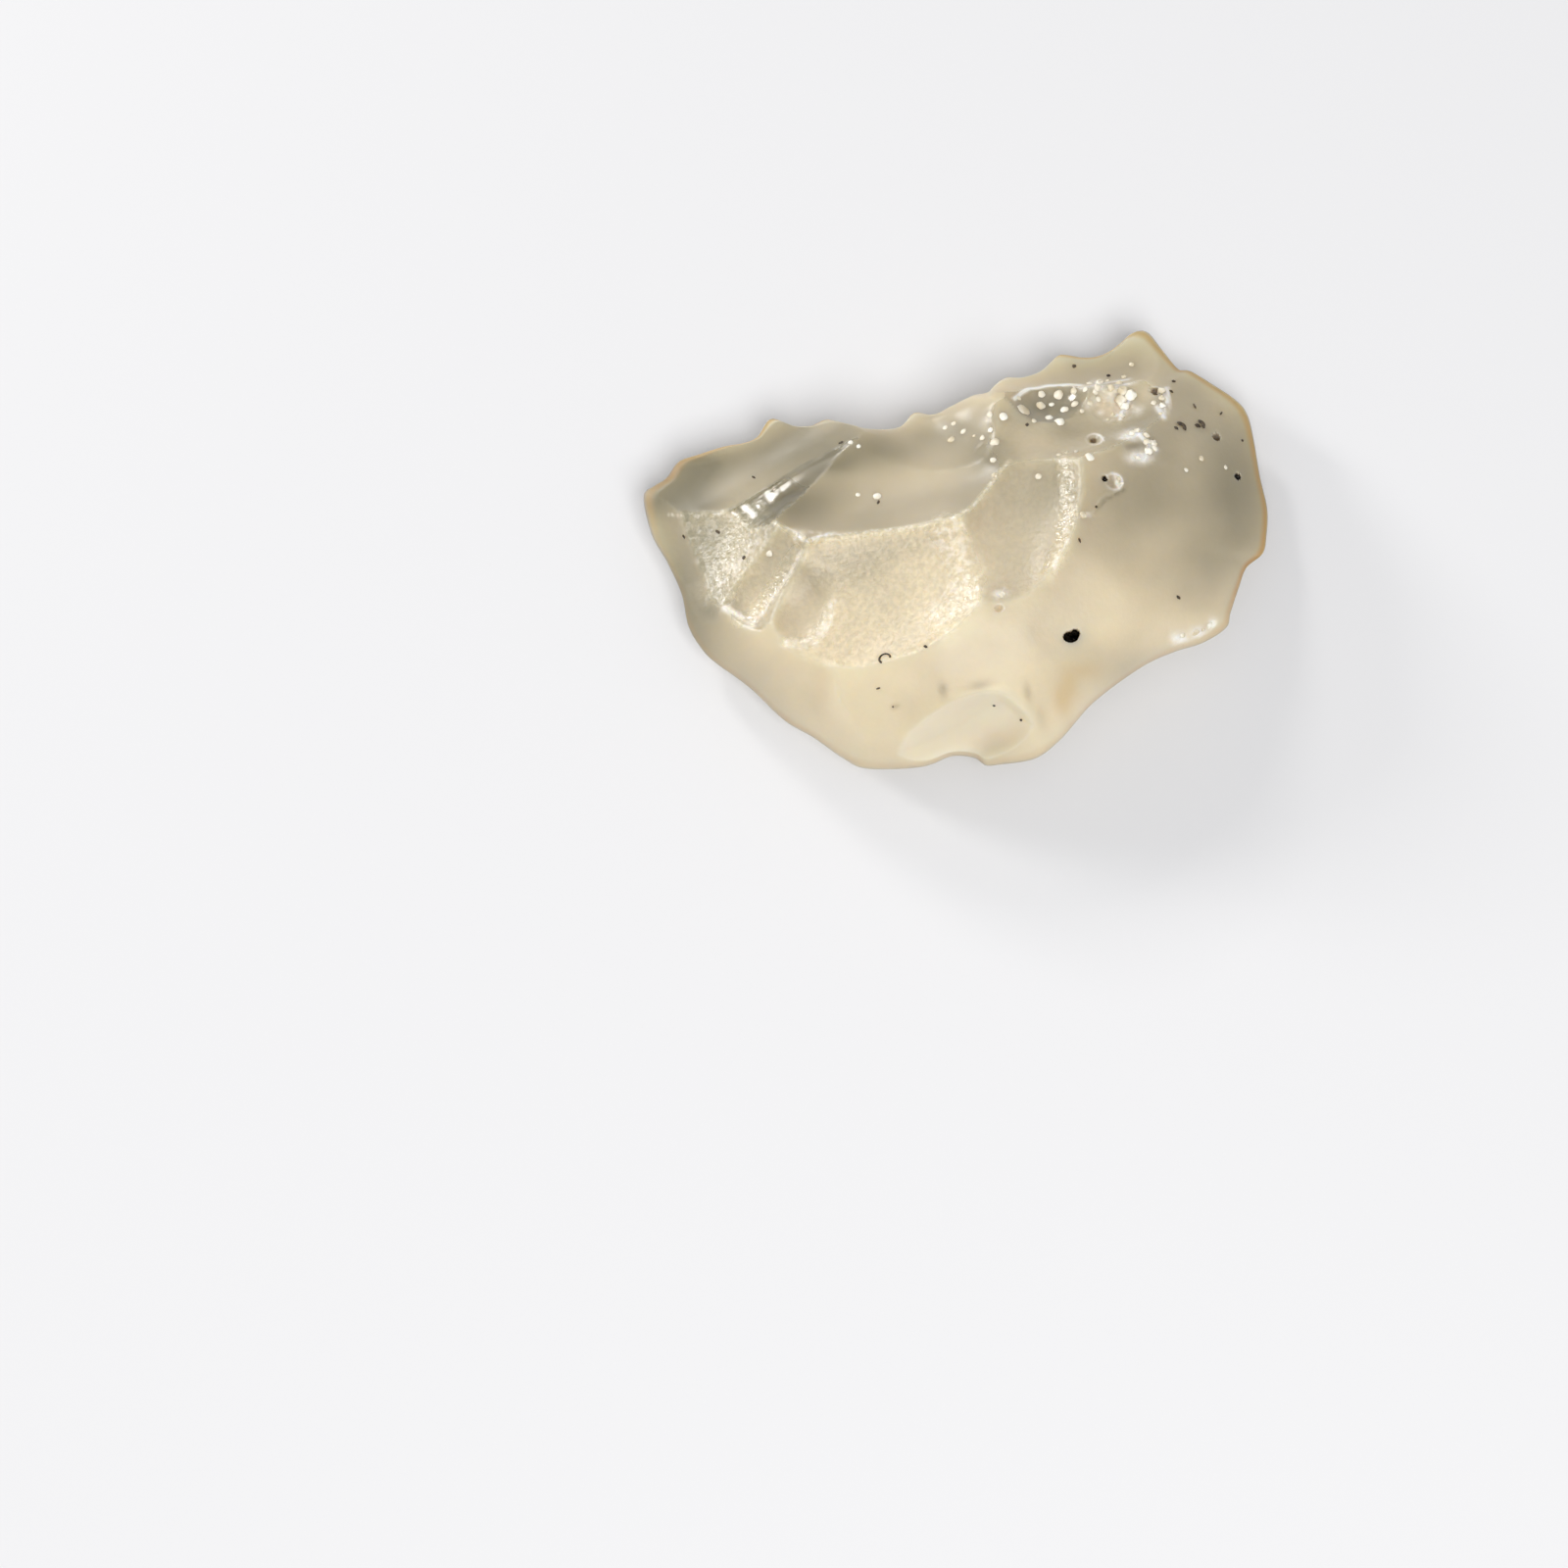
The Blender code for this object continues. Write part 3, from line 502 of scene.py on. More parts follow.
def shape_flake(unit):
    """Where the points of a unit ball lie on the flake, and what its surface is like there."""
    angle = np.arctan2(unit[:, 1], unit[:, 0])
    from_pole = np.arccos(np.clip(np.abs(unit[:, 2]), 0, 1))
    # Midway between the ball seen from above, which crowds its points at the rim, and an even spread
    reach =np.clip((np.sin(from_pole) + math.sqrt(2) * np.sin(from_pole / 2)) / 2, 0, 1)
    calm = np.interp(angle, compass, calm_rim, period=math.tau)
    chipped = np.interp(angle, compass, chipped_rim, period=math.tau)
    radius = calm + (chipped - calm) * reach**CHIP_HOLD
    x = radius * reach * np.cos(angle)
    y = radius * reach * np.sin(angle)
    side = calm * np.sin(angle)
    rim_height = RIM_HEIGHT + RIM_RISE * side
    dome = CROWN_HEIGHT - CROWN_FALL[0] * (x - CROWN_MIDDLE[0]) ** 2
    dome -= CROWN_FALL[1] * (y - CROWN_MIDDLE[1]) ** 2
    for middle, spot, depth in WORN_HOLLOWS:
        dome -= depth * soft_spot(x, y, middle, spot)
    thick = ease(side, THIN_SIDE, THICK_SIDE)
    power = THIN_EDGE + (THICK_EDGE - THIN_EDGE) * thick
    crown = rim_height + (dome - rim_height) * (1 - reach**SHOULDER) ** power
    crown += waves_over(np.stack((x, y, crown), axis=1), SWELLS) * (1 - reach**CHIP_HOLD)
    belly = rim_height * reach**BELLY - FOOT_DEPTH * (1 - reach)

    flat = np.stack((x, y, np.zeros(len(x))), axis=1)
    scar_x = x + waves_over(flat, WANDER)
    scar_y = y + waves_over(flat + OTHER_WAVES, WANDER)
    near_ridge = np.exp(-((ridge_gap(scar_x, scar_y, crown) / WANDER_REACH) ** 2))
    scar_x += near_ridge * waves_over(flat, RIDGE_WANDER)
    scar_y += near_ridge * waves_over(flat + OTHER_WAVES, RIDGE_WANDER)
    softened = sum(more * soft_spot(x, y, middle, spot) for middle, spot, more in SOFT_RIDGES)
    ragged = waves_over(flat, RAGGED)
    back = crown.copy()
    lowest = crown.copy()
    second = np.full(len(x), NOWHERE)
    finish = np.tile(SKIN, (len(x), 1))
    lowest_white = np.full(len(x), SKIN[3])
    second_white = np.zeros(len(x))
    for name, (place, half_axes, lean, wear) in SCARS.items():
        low, high = bite(scar_x, scar_y, place, half_axes, lean)
        low = np.where(np.isnan(low) | (high < back), NOWHERE, low)
        for (start_x, start_y), (end_x, end_y), steepness in ENDS.get(name, []):
            beyond = (scar_y - start_y) * (end_x - start_x) - (scar_x - start_x) * (end_y - start_y)
            beyond /= math.hypot(end_x - start_x, end_y - start_y)
            low = low + steepness * np.clip(beyond, 0, None)
        wear = wear + softened
        inside = ease(lowest - low + ragged, -wear, wear)
        finish += (np.array(FINISHES[name]) - finish) * inside[:, None]
        white = FINISHES[name][3]
        second_white = np.where(low < second, white, second_white)
        second_white = np.where(low < lowest, lowest_white, second_white)
        second = np.minimum(second, np.maximum(lowest, low))
        lowest_white = np.where(low < lowest, white, lowest_white)
        lowest = np.minimum(lowest, low)
        back = np.where(low < NOWHERE, worn_lower(back, low, wear), back)
    frost, grain, milk_and_shade = finish[:, 0], finish[:, 1], finish[:, 2]
    for middle, spot, more in FROSTED:
        frost = np.maximum(frost, more * soft_spot(x, y, middle, spot))
    # Ridges are whitened along their crest, partly chipped glass and partly a painted highlight
    crease = np.exp(-(((second - lowest) / RIDGE_REACH) ** 2))
    white = np.maximum(crease * np.maximum(lowest_white, second_white), finish[:, 4])
    for points, height, half_width in FOLDS.values():
        off = from_line(scar_x, scar_y, points)
        back += height * np.exp(-((off / half_width) ** 2))
    least = np.minimum(crown, rim_height + LEAST_EDGE + EDGE_RISE * (1 - reach))
    back = np.maximum(back, least)

    dust = np.zeros(len(x))
    pit_edge = np.zeros(len(x))
    for middle, spot, crushed in CRUSHED_AND_GLINTS:
        whitening = crushed * soft_spot(scar_x, scar_y, middle, spot)
        white = np.maximum(white, whitening)
        grain = np.maximum(grain, whitening)
    for points, half_width, whiter in WHITE_AND_GLINT_LINES:
        off = from_line(scar_x, scar_y, points)
        whitening = whiter * np.exp(-((off / half_width) ** 2))
        white = np.maximum(white, whitening)
        pit_edge = np.maximum(pit_edge, whitening)
    for points, half_width, clearer in PAINTED_SHADE_LINES:
        furrow = np.exp(-((from_line(scar_x, scar_y, points) / half_width) ** 2))
        milk_and_shade = milk_and_shade - clearer * furrow
        white = white * (1 - furrow)
        pit_edge = np.maximum(pit_edge, furrow)
    for points, half_width, coarse in SPARKLES:
        off = from_line(x, y, points)
        sparkle = coarse * np.exp(-((off / half_width) ** 2))
        grain = np.maximum(grain, sparkle)
        frost = frost * (1 - FROST_LOST * sparkle)
    for middle, half, depth, dusty, ring, roundness in PITS.values():
        off = ((x - middle[0]) / half[0]) ** 2 + ((y - middle[1]) / half[1]) ** 2
        back -= depth * np.clip(1 - off, 0, 1) ** roundness
        dust = np.maximum(dust, dusty * ease(off, *DUST_EDGE))
        frost = frost * (1 - DUST_POLISH * dust)
        # Each white ring is painted lit on its right and shaded on its left
        to_right = (x - middle[0]) / half[0] / np.sqrt(np.maximum(off, 1e-6))
        painted_lit_side = RING_SHADED_LEFT + (1 - RING_SHADED_LEFT) * (1 + to_right) / 2
        on_ring = np.exp(-(((np.sqrt(off) - 1.0) / RING_REACH) ** 2))
        white = np.maximum(white, ring * painted_lit_side * on_ring)
        pit_edge = np.maximum(pit_edge, 1.0 * (off < PIT_LIP**2))

    under = belly.copy()
    for place, half_axes, lean in UNDER_SCARS:
        low, high = bite(scar_x, scar_y, place, half_axes, lean)
        under = np.where((low < under) & (high > under), high, under)
    under = np.minimum(under, back - np.minimum(LEAST_EDGE, (crown - belly) / 2))
    under = np.maximum(under, 0.0)

    above = unit[:, 2] >= 0
    z = np.where(above, back, under)
    rim_close = ease(reach, *RIM_CLOSE)
    fine = np.stack((x, y, z), axis=1)
    grained = np.where(above, grain, SKIN[1])
    relief = grained * waves_over(fine, GRAIN_WAVES) + (1 - grained) * waves_over(fine, SKIN_WAVES)
    z = np.where(z > 0, np.maximum(z + relief * (1 - rim_close), 0.0), z)
    return {
        "place": np.stack((x, y, z), axis=1),
        "above": above,
        "reach": reach,
        "side": side,
        "frost": np.where(above, frost, SKIN[0]),
        "grain": np.where(above, grain, SKIN[1]),
        "milk_and_shade": np.where(above, milk_and_shade, SKIN[2]),
        "white": np.where(above, white, 0.0) * (1 - rim_close),
        "dust": np.where(above, dust, 0.0),
        "detail": np.where(above, np.maximum(crease, pit_edge), 0.0),
    }


def unit_points(ball):
    """Where the points of the ball lie, each at a distance of 1 from its middle."""
    return np.array([vertex.co.normalized() for vertex in ball.verts])


ball = bmesh.new()
bmesh.ops.create_icosphere(ball, subdivisions=BALL_SUBDIVISIONS, radius=1)
back_edges = [e for e in ball.edges if all(v.co.z > BACK_STARTS for v in e.verts)]
bmesh.ops.subdivide_edges(ball, edges=back_edges, cuts=BACK_CUTS, use_grid_fill=True)
bmesh.ops.triangulate(ball, faces=ball.faces[:])
detail = shape_flake(unit_points(ball))["detail"]
ball.verts.index_update()
fine_edges = [e for e in ball.edges if all(detail[v.index] > FINE_FROM for v in e.verts)]
bmesh.ops.subdivide_edges(ball, edges=fine_edges, cuts=1, use_grid_fill=True)
bmesh.ops.triangulate(ball, faces=ball.faces[:])
flake_shape = shape_flake(unit_points(ball))
for vertex, place in zip(ball.verts, flake_shape["place"]):
    vertex.co = place

# The finished flake fills the solid's box, and no more
low_corner, high_corner = (np.array(corner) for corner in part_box("desert_glass"))
flake_mesh = bpy.data.meshes.new("glass_flake")
ball.to_mesh(flake_mesh)
ball.free()
places = flake_shape["place"].copy()
places -= (places.min(axis=0) + places.max(axis=0)) / 2
places *= (high_corner - low_corner) / (places.max(axis=0) - places.min(axis=0))
places += (low_corner + high_corner) / 2
flake_mesh.vertices.foreach_set("co", places.ravel())
flake_mesh.shade_smooth()
flake = bpy.data.objects.new("glass_flake", flake_mesh)
bpy.context.scene.collection.objects.link(flake)


def keep_on_surface(mesh, name, values):
    """Keeps a value for each point of the mesh, which the material reads by its name."""
    kept = mesh.attributes.new(name, "FLOAT", "POINT")
    kept.data.foreach_set("value", np.clip(values, 0, 1))


# Painted glow: the thin edge is painted amber, as light shining through it glows, most of all at
# the back and on the right
GLOW_REACH = (0.978, 0.996)
GLOW_TO_RIGHT = 0.35
GLOW_GROWS = (-3.0, 3.0)
LEAST_GLOW = 0.25

x, y = flake_shape["place"][:, 0], flake_shape["place"][:, 1]
milk_and_shade = flake_shape["milk_and_shade"].copy()
# The clouds set the milkiness, partly as the glass is and partly as painted shade and light
for middle, spot, more in CLOUDS_AND_SHADE:
    milk_and_shade += more * soft_spot(x, y, middle, spot)
stain = np.zeros(len(x))
for middle, spot, strength in STAINS:
    stain += strength * soft_spot(x, y, middle, spot)
for name in ("frost", "grain", "white", "dust"):
    keep_on_surface(flake_mesh, name, flake_shape[name])
keep_on_surface(flake_mesh, "milk_and_shade", np.minimum(milk_and_shade, MOST_MILK))
keep_on_surface(flake_mesh, "stain", stain * flake_shape["above"])
to_back = ease(flake_shape["side"] + GLOW_TO_RIGHT * x, *GLOW_GROWS)
glow = LEAST_GLOW + (1 - LEAST_GLOW) * to_back
keep_on_surface(flake_mesh, "painted_rim_glow", ease(flake_shape["reach"], *GLOW_REACH) * glow)

CLEAR_GLASS = (0.42, 0.39, 0.28, 1)
MILKY_GLASS = (0.98, 0.85, 0.62, 1)
CHIPPED_AND_GLINT_WHITE = (0.97, 0.92, 0.85, 1)
PAINTED_RIM_GLOW = (0.68, 0.38, 0.13, 1)
OCHRE = (0.72, 0.50, 0.19, 1)
BROWN_DUST = (0.17, 0.10, 0.045, 1)
DARK_DUST = (0.012, 0.009, 0.006, 1)
GLASS_IOR = 1.46
GLASS_DEPTH_COLOUR = (0.88, 0.80, 0.55, 1)
GLASS_DEPTH_DENSITY = 50.0
GLASS_SCATTER = (1.0, 0.88, 0.62)
GLASS_SCATTER_DEPTH = 0.0015
STAIN_STRENGTH = 0.7

# Swells in a metre of each random pattern, how far it moves what it varies, and between which of
# its values it does so
CLOUDS_A_METRE = 260
CLOUDINESS = 0.18
MOTTLES_A_METRE = 3800
MOTTLE_DEPTH = 0.22
MOTTLES = (0.35, 0.65)
CRUMBS_A_METRE = 2500
CRUMB_DEPTH = 0.6
CRUMBS = (0.42, 0.60)
FROST_SPOTS_A_METRE = 900
FROST_SPREAD = 0.25
TOOTH_A_METRE = 4200
TOOTH_HEIGHT = 0.00009

# How much white a crushed place or a painted glint gets, and where dust is thick enough to look
# nearly black
WHITE_GAIN = 1.6
THICK_DUST = (0.6, 0.9)

# How much of the light goes through, in clear and in milky glass, the share of that which grain,
# white chips and painted glints leave, and the roughness of polished and of fully frosted glass
SEE_THROUGH = (0.75, 0.25)
GRAINED_SHARE = 0.35
CHIPPED_AND_GLINT_SHARE = 0.3
POLISHED = 0.10
FULLY_FROSTED = 0.45

glass = bpy.data.materials.new("frosted_desert_glass")
glass.use_nodes = True
nodes = glass.node_tree.nodes
links = glass.node_tree.links
shader = nodes["Principled BSDF"]
shader.inputs["IOR"].default_value = GLASS_IOR
shader.inputs["Subsurface Weight"].default_value = 1.0
shader.inputs["Subsurface Radius"].default_value = GLASS_SCATTER
shader.inputs["Subsurface Scale"].default_value = GLASS_SCATTER_DEPTH
place_in_piece = nodes.new("ShaderNodeTexCoord").outputs["Object"]


def surface_value(name):
    """What the mesh keeps under this name."""
    reader = nodes.new("ShaderNodeAttribute")
    reader.attribute_name = name
    return reader.outputs["Fac"]


def random_spots(a_metre, detail):
    """Random values from 0 to 1, with the given number of swells in a metre."""
    made = nodes.new("ShaderNodeTexNoise")
    made.inputs["Scale"].default_value = a_metre
    made.inputs["Detail"].default_value = detail
    links.new(place_in_piece, made.inputs["Vector"])
    return made.outputs["Fac"]


def spread_to(value, low, high, start=0.0, end=1.0):
    """The value moved from the range start to end to the range low to high."""
    moved = nodes.new("ShaderNodeMapRange")
    moved.inputs["From Min"].default_value = start
    moved.inputs["From Max"].default_value = end
    moved.inputs["To Min"].default_value = low
    moved.inputs["To Max"].default_value = high
    links.new(value, moved.inputs["Value"])
    return moved.outputs["Result"]


def figure(operation, first, second):
    """Arithmetic with an output and a number or a second output, kept between 0 and 1."""
    made = nodes.new("ShaderNodeMath")
    made.operation = operation
    made.use_clamp = True
    links.new(first, made.inputs[0])
    if isinstance(second, float):
        made.inputs[1].default_value = second
    else:
        links.new(second, made.inputs[1])
    return made.outputs["Value"]


def blend_colours(share, first, second):
    """The first colour where the share is 0, and the second where it is 1."""
    made = nodes.new("ShaderNodeMix")
    made.data_type = "RGBA"
    links.new(share, made.inputs["Factor"])
    for socket, colour in ((made.inputs[6], first), (made.inputs[7], second)):
        if isinstance(colour, tuple):
            socket.default_value = colour
        else:
            links.new(colour, socket)
    return made.outputs[2]


cloudy = spread_to(random_spots(CLOUDS_A_METRE, 3), -CLOUDINESS, CLOUDINESS)
milkiness_and_shade = figure("ADD", surface_value("milk_and_shade"), cloudy)
# Grained glass is mottled darker at random, partly painted shade standing in for its fine relief
mottles = spread_to(random_spots(MOTTLES_A_METRE, 2), 0.0, MOTTLE_DEPTH, *MOTTLES)
mottles = figure("MULTIPLY", surface_value("grain"), mottles)
milkiness_and_shade = figure("SUBTRACT", milkiness_and_shade, mottles)
# Milky glass is light and clear glass dark; where clouds and furrows set the milkiness, that is painted
# shade and painted light
body = blend_colours(milkiness_and_shade, CLEAR_GLASS, MILKY_GLASS)
# The painted glow of light shining through the thin edge
body = blend_colours(surface_value("painted_rim_glow"), body, PAINTED_RIM_GLOW)
body = blend_colours(figure("MULTIPLY", surface_value("stain"), STAIN_STRENGTH), body, OCHRE)

# Crushed white glass, and the painted glints, highlights and reflection that share its white, are
# broken up by crumbs where they are grained
crumbs = spread_to(random_spots(CRUMBS_A_METRE, 2), CRUMB_DEPTH, 0.0, *CRUMBS)
crumbs = figure("MULTIPLY", crumbs, surface_value("grain"))
chipped = figure("SUBTRACT", spread_to(surface_value("white"), 0.0, WHITE_GAIN), crumbs)
body = blend_colours(chipped, body, CHIPPED_AND_GLINT_WHITE)

# Thin dust looks brown, and thick dust nearly black
body = blend_colours(surface_value("dust"), body, BROWN_DUST)
body = blend_colours(spread_to(surface_value("dust"), 0.0, 1.0, *THICK_DUST), body, DARK_DUST)
links.new(body, shader.inputs["Base Color"])

see_through = spread_to(milkiness_and_shade, *SEE_THROUGH)
for hides, share in ((surface_value("grain"), GRAINED_SHARE), (chipped, CHIPPED_AND_GLINT_SHARE)):
    see_through = figure("MULTIPLY", see_through, spread_to(hides, 1.0, share))
see_through = figure("MULTIPLY", see_through, spread_to(surface_value("dust"), 1.0, 0.0))
links.new(see_through, shader.inputs["Transmission Weight"])

uneven = spread_to(random_spots(FROST_SPOTS_A_METRE, 4), -FROST_SPREAD, FROST_SPREAD)
frosted = figure("ADD", surface_value("frost"), uneven)
links.new(spread_to(frosted, POLISHED, FULLY_FROSTED), shader.inputs["Roughness"])

tooth = nodes.new("ShaderNodeBump")
tooth.inputs["Distance"].default_value = TOOTH_HEIGHT
links.new(random_spots(TOOTH_A_METRE, 2), tooth.inputs["Height"])
links.new(surface_value("grain"), tooth.inputs["Strength"])
links.new(tooth.outputs["Normal"], shader.inputs["Normal"])

depth_tint = nodes.new("ShaderNodeVolumeAbsorption")
depth_tint.inputs["Color"].default_value = GLASS_DEPTH_COLOUR
depth_tint.inputs["Density"].default_value = GLASS_DEPTH_DENSITY
links.new(depth_tint.outputs["Volume"], nodes["Material Output"].inputs["Volume"])
flake_mesh.materials.append(glass)

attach(flake, "root")
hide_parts("desert_glass")

# THE WHITE GRAINS
# Round grains of white mineral that grew in the glass while it cooled. Where the skin was struck
# or blown away they stand bare, with about half of each still held in the glass.

GRAINS = [
    (5.7, 8.2, 0.30), (6.6, 8.0, 0.40), (7.4, 8.0, 0.30), (5.5, 7.5, 0.40), (7.3, 7.2, 0.32),
    (6.7, 7.0, 0.34), (5.8, 6.6, 0.34), (6.3, 6.2, 0.36), (4.5, 7.2, 0.60), (7.2, 3.3, 0.30),
    (8.0, 7.9, 0.22), (8.4, 8.4, 0.30), (6.1, 7.5, 0.20), (7.6, 6.6, 0.18), (4.9, 6.4, 0.20),
    (5.8, 3.9, 0.22), (4.5, 2.9, 0.24), (13.4, 2.9, 0.25), (14.7, 2.4, 0.20), (12.4, 2.2, 0.19),
    (10.9, 3.5, 0.25), (10.5, 3.9, 0.20), (-5.1, 3.9, 0.20), (-4.1, 3.6, 0.31), (0.2, 7.3, 0.20),
    (0.7, 7.4, 0.20), (1.1, 6.7, 0.24), (0.4, 6.4, 0.31), (2.0, 5.9, 0.25), (1.6, 6.2, 0.15),
    (2.6, 7.1, 0.28), (3.3, 6.8, 0.33), (2.5, 6.2, 0.20), (2.6, 5.4, 0.30), (2.3, 4.3, 0.25),
    (2.2, 3.4, 0.20), (10.9, 9.3, 0.24), (8.6, 7.2, 0.24), (8.9, 5.9, 0.18), (-5.0, 7.0, 0.18),
    (-4.6, 6.7, 0.18), (6.3, 0.1, 0.22), (-10.3, 1.4, 0.26),
]

# The share of a grain's radius that its middle lies below the skin, how lumpy it is and how
# closely its lumps lie in a metre
GRAIN_SUNK = 0.70
GRAIN_LUMPS = 0.16
LUMPS_A_METRE = 4000

GRAIN_WHITE = (0.95, 0.91, 0.80, 1)
GRAIN_CREAM = (0.66, 0.57, 0.40, 1)
CREAM_SPOTS_A_METRE = 700
CREAM_SPOTS = (0.38, 0.62)
GRAIN_ROUGHNESS = 0.35
GRAIN_SCATTER_SHARE = 0.3
GRAIN_SCATTER = (1.0, 0.9, 0.8)
GRAIN_SCATTER_DEPTH = 0.0003
STRAIGHT_DOWN = Vector((0, 0, -1))

bpy.context.view_layer.update()


def touch_flake(x, y):
    """The point of the flake's upper side over a place given in millimetres, and its normal."""
    start = Vector((x * MM, y * MM, high_corner[2] * 2))
    found, place, normal, _ = flake.ray_cast(start, STRAIGHT_DOWN)
    if not found:
        raise ValueError("a grain lies beside the flake")
    return place, normal


grains = bmesh.new()
for number, (x, y, radius) in enumerate(GRAINS):
    place, normal = touch_flake(x, y)
    grown = bmesh.ops.create_icosphere(grains, subdivisions=3, radius=radius * MM)["verts"]
    for vertex in grown:
        lump = noise.noise(vertex.co * LUMPS_A_METRE + Vector((number, 0, 0)))
        vertex.co *= 1 + GRAIN_LUMPS * lump
        vertex.co += place - normal * radius * GRAIN_SUNK * MM
grains_mesh = bpy.data.meshes.new("white_grains")
grains.to_mesh(grains_mesh)
grains.free()
grains_mesh.shade_smooth()
white_grains = bpy.data.objects.new("white_grains", grains_mesh)
bpy.context.scene.collection.objects.link(white_grains)

chalk = bpy.data.materials.new("white_cristobalite")
chalk.use_nodes = True
nodes = chalk.node_tree.nodes
links = chalk.node_tree.links
shader = nodes["Principled BSDF"]
shader.inputs["Roughness"].default_value = GRAIN_ROUGHNESS
shader.inputs["Subsurface Weight"].default_value = GRAIN_SCATTER_SHARE
shader.inputs["Subsurface Radius"].default_value = GRAIN_SCATTER
shader.inputs["Subsurface Scale"].default_value = GRAIN_SCATTER_DEPTH
place_in_piece = nodes.new("ShaderNodeTexCoord").outputs["Object"]
creamy = spread_to(random_spots(CREAM_SPOTS_A_METRE, 2), 0.0, 1.0, *CREAM_SPOTS)
links.new(blend_colours(creamy, GRAIN_WHITE, GRAIN_CREAM), shader.inputs["Base Color"])
grains_mesh.materials.append(chalk)
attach(white_grains, "root")

# THE CRUSHED_AND_GLINTS CRYSTALS
# Broken grains and splinters of glass in the walls of the open bubbles, angular and white. They
# belong to the glass and were never loose.

CRYSTALS = [
    (9.9, 8.0, 0.24), (10.0, 7.5, 0.30), (9.7, 7.1, 0.22), (9.9, 6.6, 0.26), (9.4, 7.7, 0.20),
    (9.2, 6.2, 0.16), (8.7, 7.9, 0.22), (8.9, 8.3, 0.26), (9.4, 8.4, 0.16), (10.3, 8.5, 0.18),
    (12.1, 7.2, 0.24), (12.0, 6.7, 0.20), (11.9, 6.2, 0.22), (11.5, 6.5, 0.18), (11.7, 5.7, 0.14),
    (10.2, 4.7, 0.24), (10.6, 4.3, 0.20), (10.9, 3.8, 0.24), (10.5, 3.3, 0.22), (9.9, 3.0, 0.18),
    (8.6, 1.9, 0.14), (8.7, 1.6, 0.12), (10.7, -6.3, 0.20), (11.5, -6.2, 0.24), (12.3, -5.9, 0.20),
    (11.9, -6.1, 0.14), (6.4, 0.0, 0.16), (6.0, 0.1, 0.14), (-8.3, 1.5, 0.16), (-8.0, 1.3, 0.13),
    (-8.7, 1.8, 0.12), (1.4, -3.5, 0.20), (6.2, 3.9, 0.14), (6.7, 3.9, 0.12), (4.4, 8.0, 0.16),
    (10.3, 7.2, 0.34), (9.8, 7.0, 0.42), (9.7, 6.0, 0.20), (8.5, 7.6, 0.18), (8.1, 7.0, 0.18),
    (9.9, 4.6, 0.22),
]

# The share of a splinter's size that its middle lies below the skin, how spiky it is, how closely
# the spikes lie and how far apart in the random waves two splinters are
CRYSTAL_SUNK = 0.45
CRYSTAL_SPIKES = 0.45
SPIKE_CLOSENESS = 2.2
NEXT_SPIKES = 3

crystals = bmesh.new()
for number, (x, y, size) in enumerate(CRYSTALS):
    place, normal = touch_flake(x, y)
    grown = bmesh.ops.create_icosphere(crystals, subdivisions=2, radius=size * MM)["verts"]
    for vertex in grown:
        waves_at = vertex.co.normalized() * SPIKE_CLOSENESS + Vector((number * NEXT_SPIKES, 0, 0))
        vertex.co *= 1 + CRYSTAL_SPIKES * noise.noise(waves_at)
        vertex.co += place - normal * size * CRYSTAL_SUNK * MM
crystals_mesh = bpy.data.meshes.new("crushed_crystals")
crystals.to_mesh(crystals_mesh)
crystals.free()
crushed_crystals = bpy.data.objects.new("crushed_crystals", crystals_mesh)
bpy.context.scene.collection.objects.link(crushed_crystals)
crystals_mesh.materials.append(chalk)
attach(crushed_crystals, "root")

# THE DARK SPECKS
# Dust that packed into small open bubbles, as near-black flecks lying level with the skin, which the
# glass holds fast, and thin dark arcs in the broken rims of a few larger ones, a painted shadow
# where each rim shades its hollow.

# Half-length and half-width of each fleck, after its place
SPECKS = [
    (7.8, 9.8, 0.12, 0.12), (9.0, 8.4, 0.16, 0.12), (9.5, 8.8, 0.12, 0.12), (12.9, 7.8, 0.14, 0.10),
    (12.6, 7.1, 0.13, 0.10), (13.7, 6.1, 0.18, 0.07), (15.1, 5.6, 0.16, 0.06),
    (13.6, 4.85, 0.17, 0.14), (12.35, 4.7, 0.14, 0.10), (16.0, 4.0, 0.08, 0.08),
    (4.5, 6.2, 0.10, 0.10), (7.1, 0.4, 0.08, 0.08), (5.9, -1.3, 0.14, 0.06), (0.1, -8.6, 0.08, 0.08),
    (1.4, -9.5, 0.08, 0.08), (10.7, -4.6, 0.16, 0.08), (-5.8, -7.0, 0.12, 0.05),
    (-3.0, -5.5, 0.08, 0.14), (-5.2, -8.0, 0.05, 0.05), (-11.7, 1.7, 0.14, 0.12),
    (-12.9, 3.7, 0.18, 0.08), (-14.8, 4.0, 0.14, 0.07), (-5.5, 7.2, 0.16, 0.10),
    (-10.5, 6.5, 0.16, 0.06), (-4.1, 3.2, 0.14, 0.07),
]

# Half of a fleck's thickness, the turn in radians from one to the next, how uneven their outline
# is and how closely its swells lie
SPECK_THICKNESS = 0.05
SPECK_TURN = 2.4
SPECK_LUMPS = 0.3
LUMP_CLOSENESS = 1.7

# Painted shadow in the broken rims of bubbles, as dark arcs: middle, radius, where the arc starts
# and its run in degrees, and half its thickness
SHADOW_ARCS = [
    (-5.2, -5.6, 0.30, 150, 240, 0.06), (12.6, 4.75, 0.24, 200, 150, 0.11),
    (13.75, 4.9, 0.20, 190, 150, 0.11), (1.0, -4.25, 0.18, 240, 200, 0.04),
]
ARC_STEPS = 14

DUST_ROUGHNESS = 0.6
SANDY_DUST = (0.10, 0.07, 0.04, 1)
SANDY_SPOTS_A_METRE = 3000
SANDY_SPOTS = (0.3, 0.7)

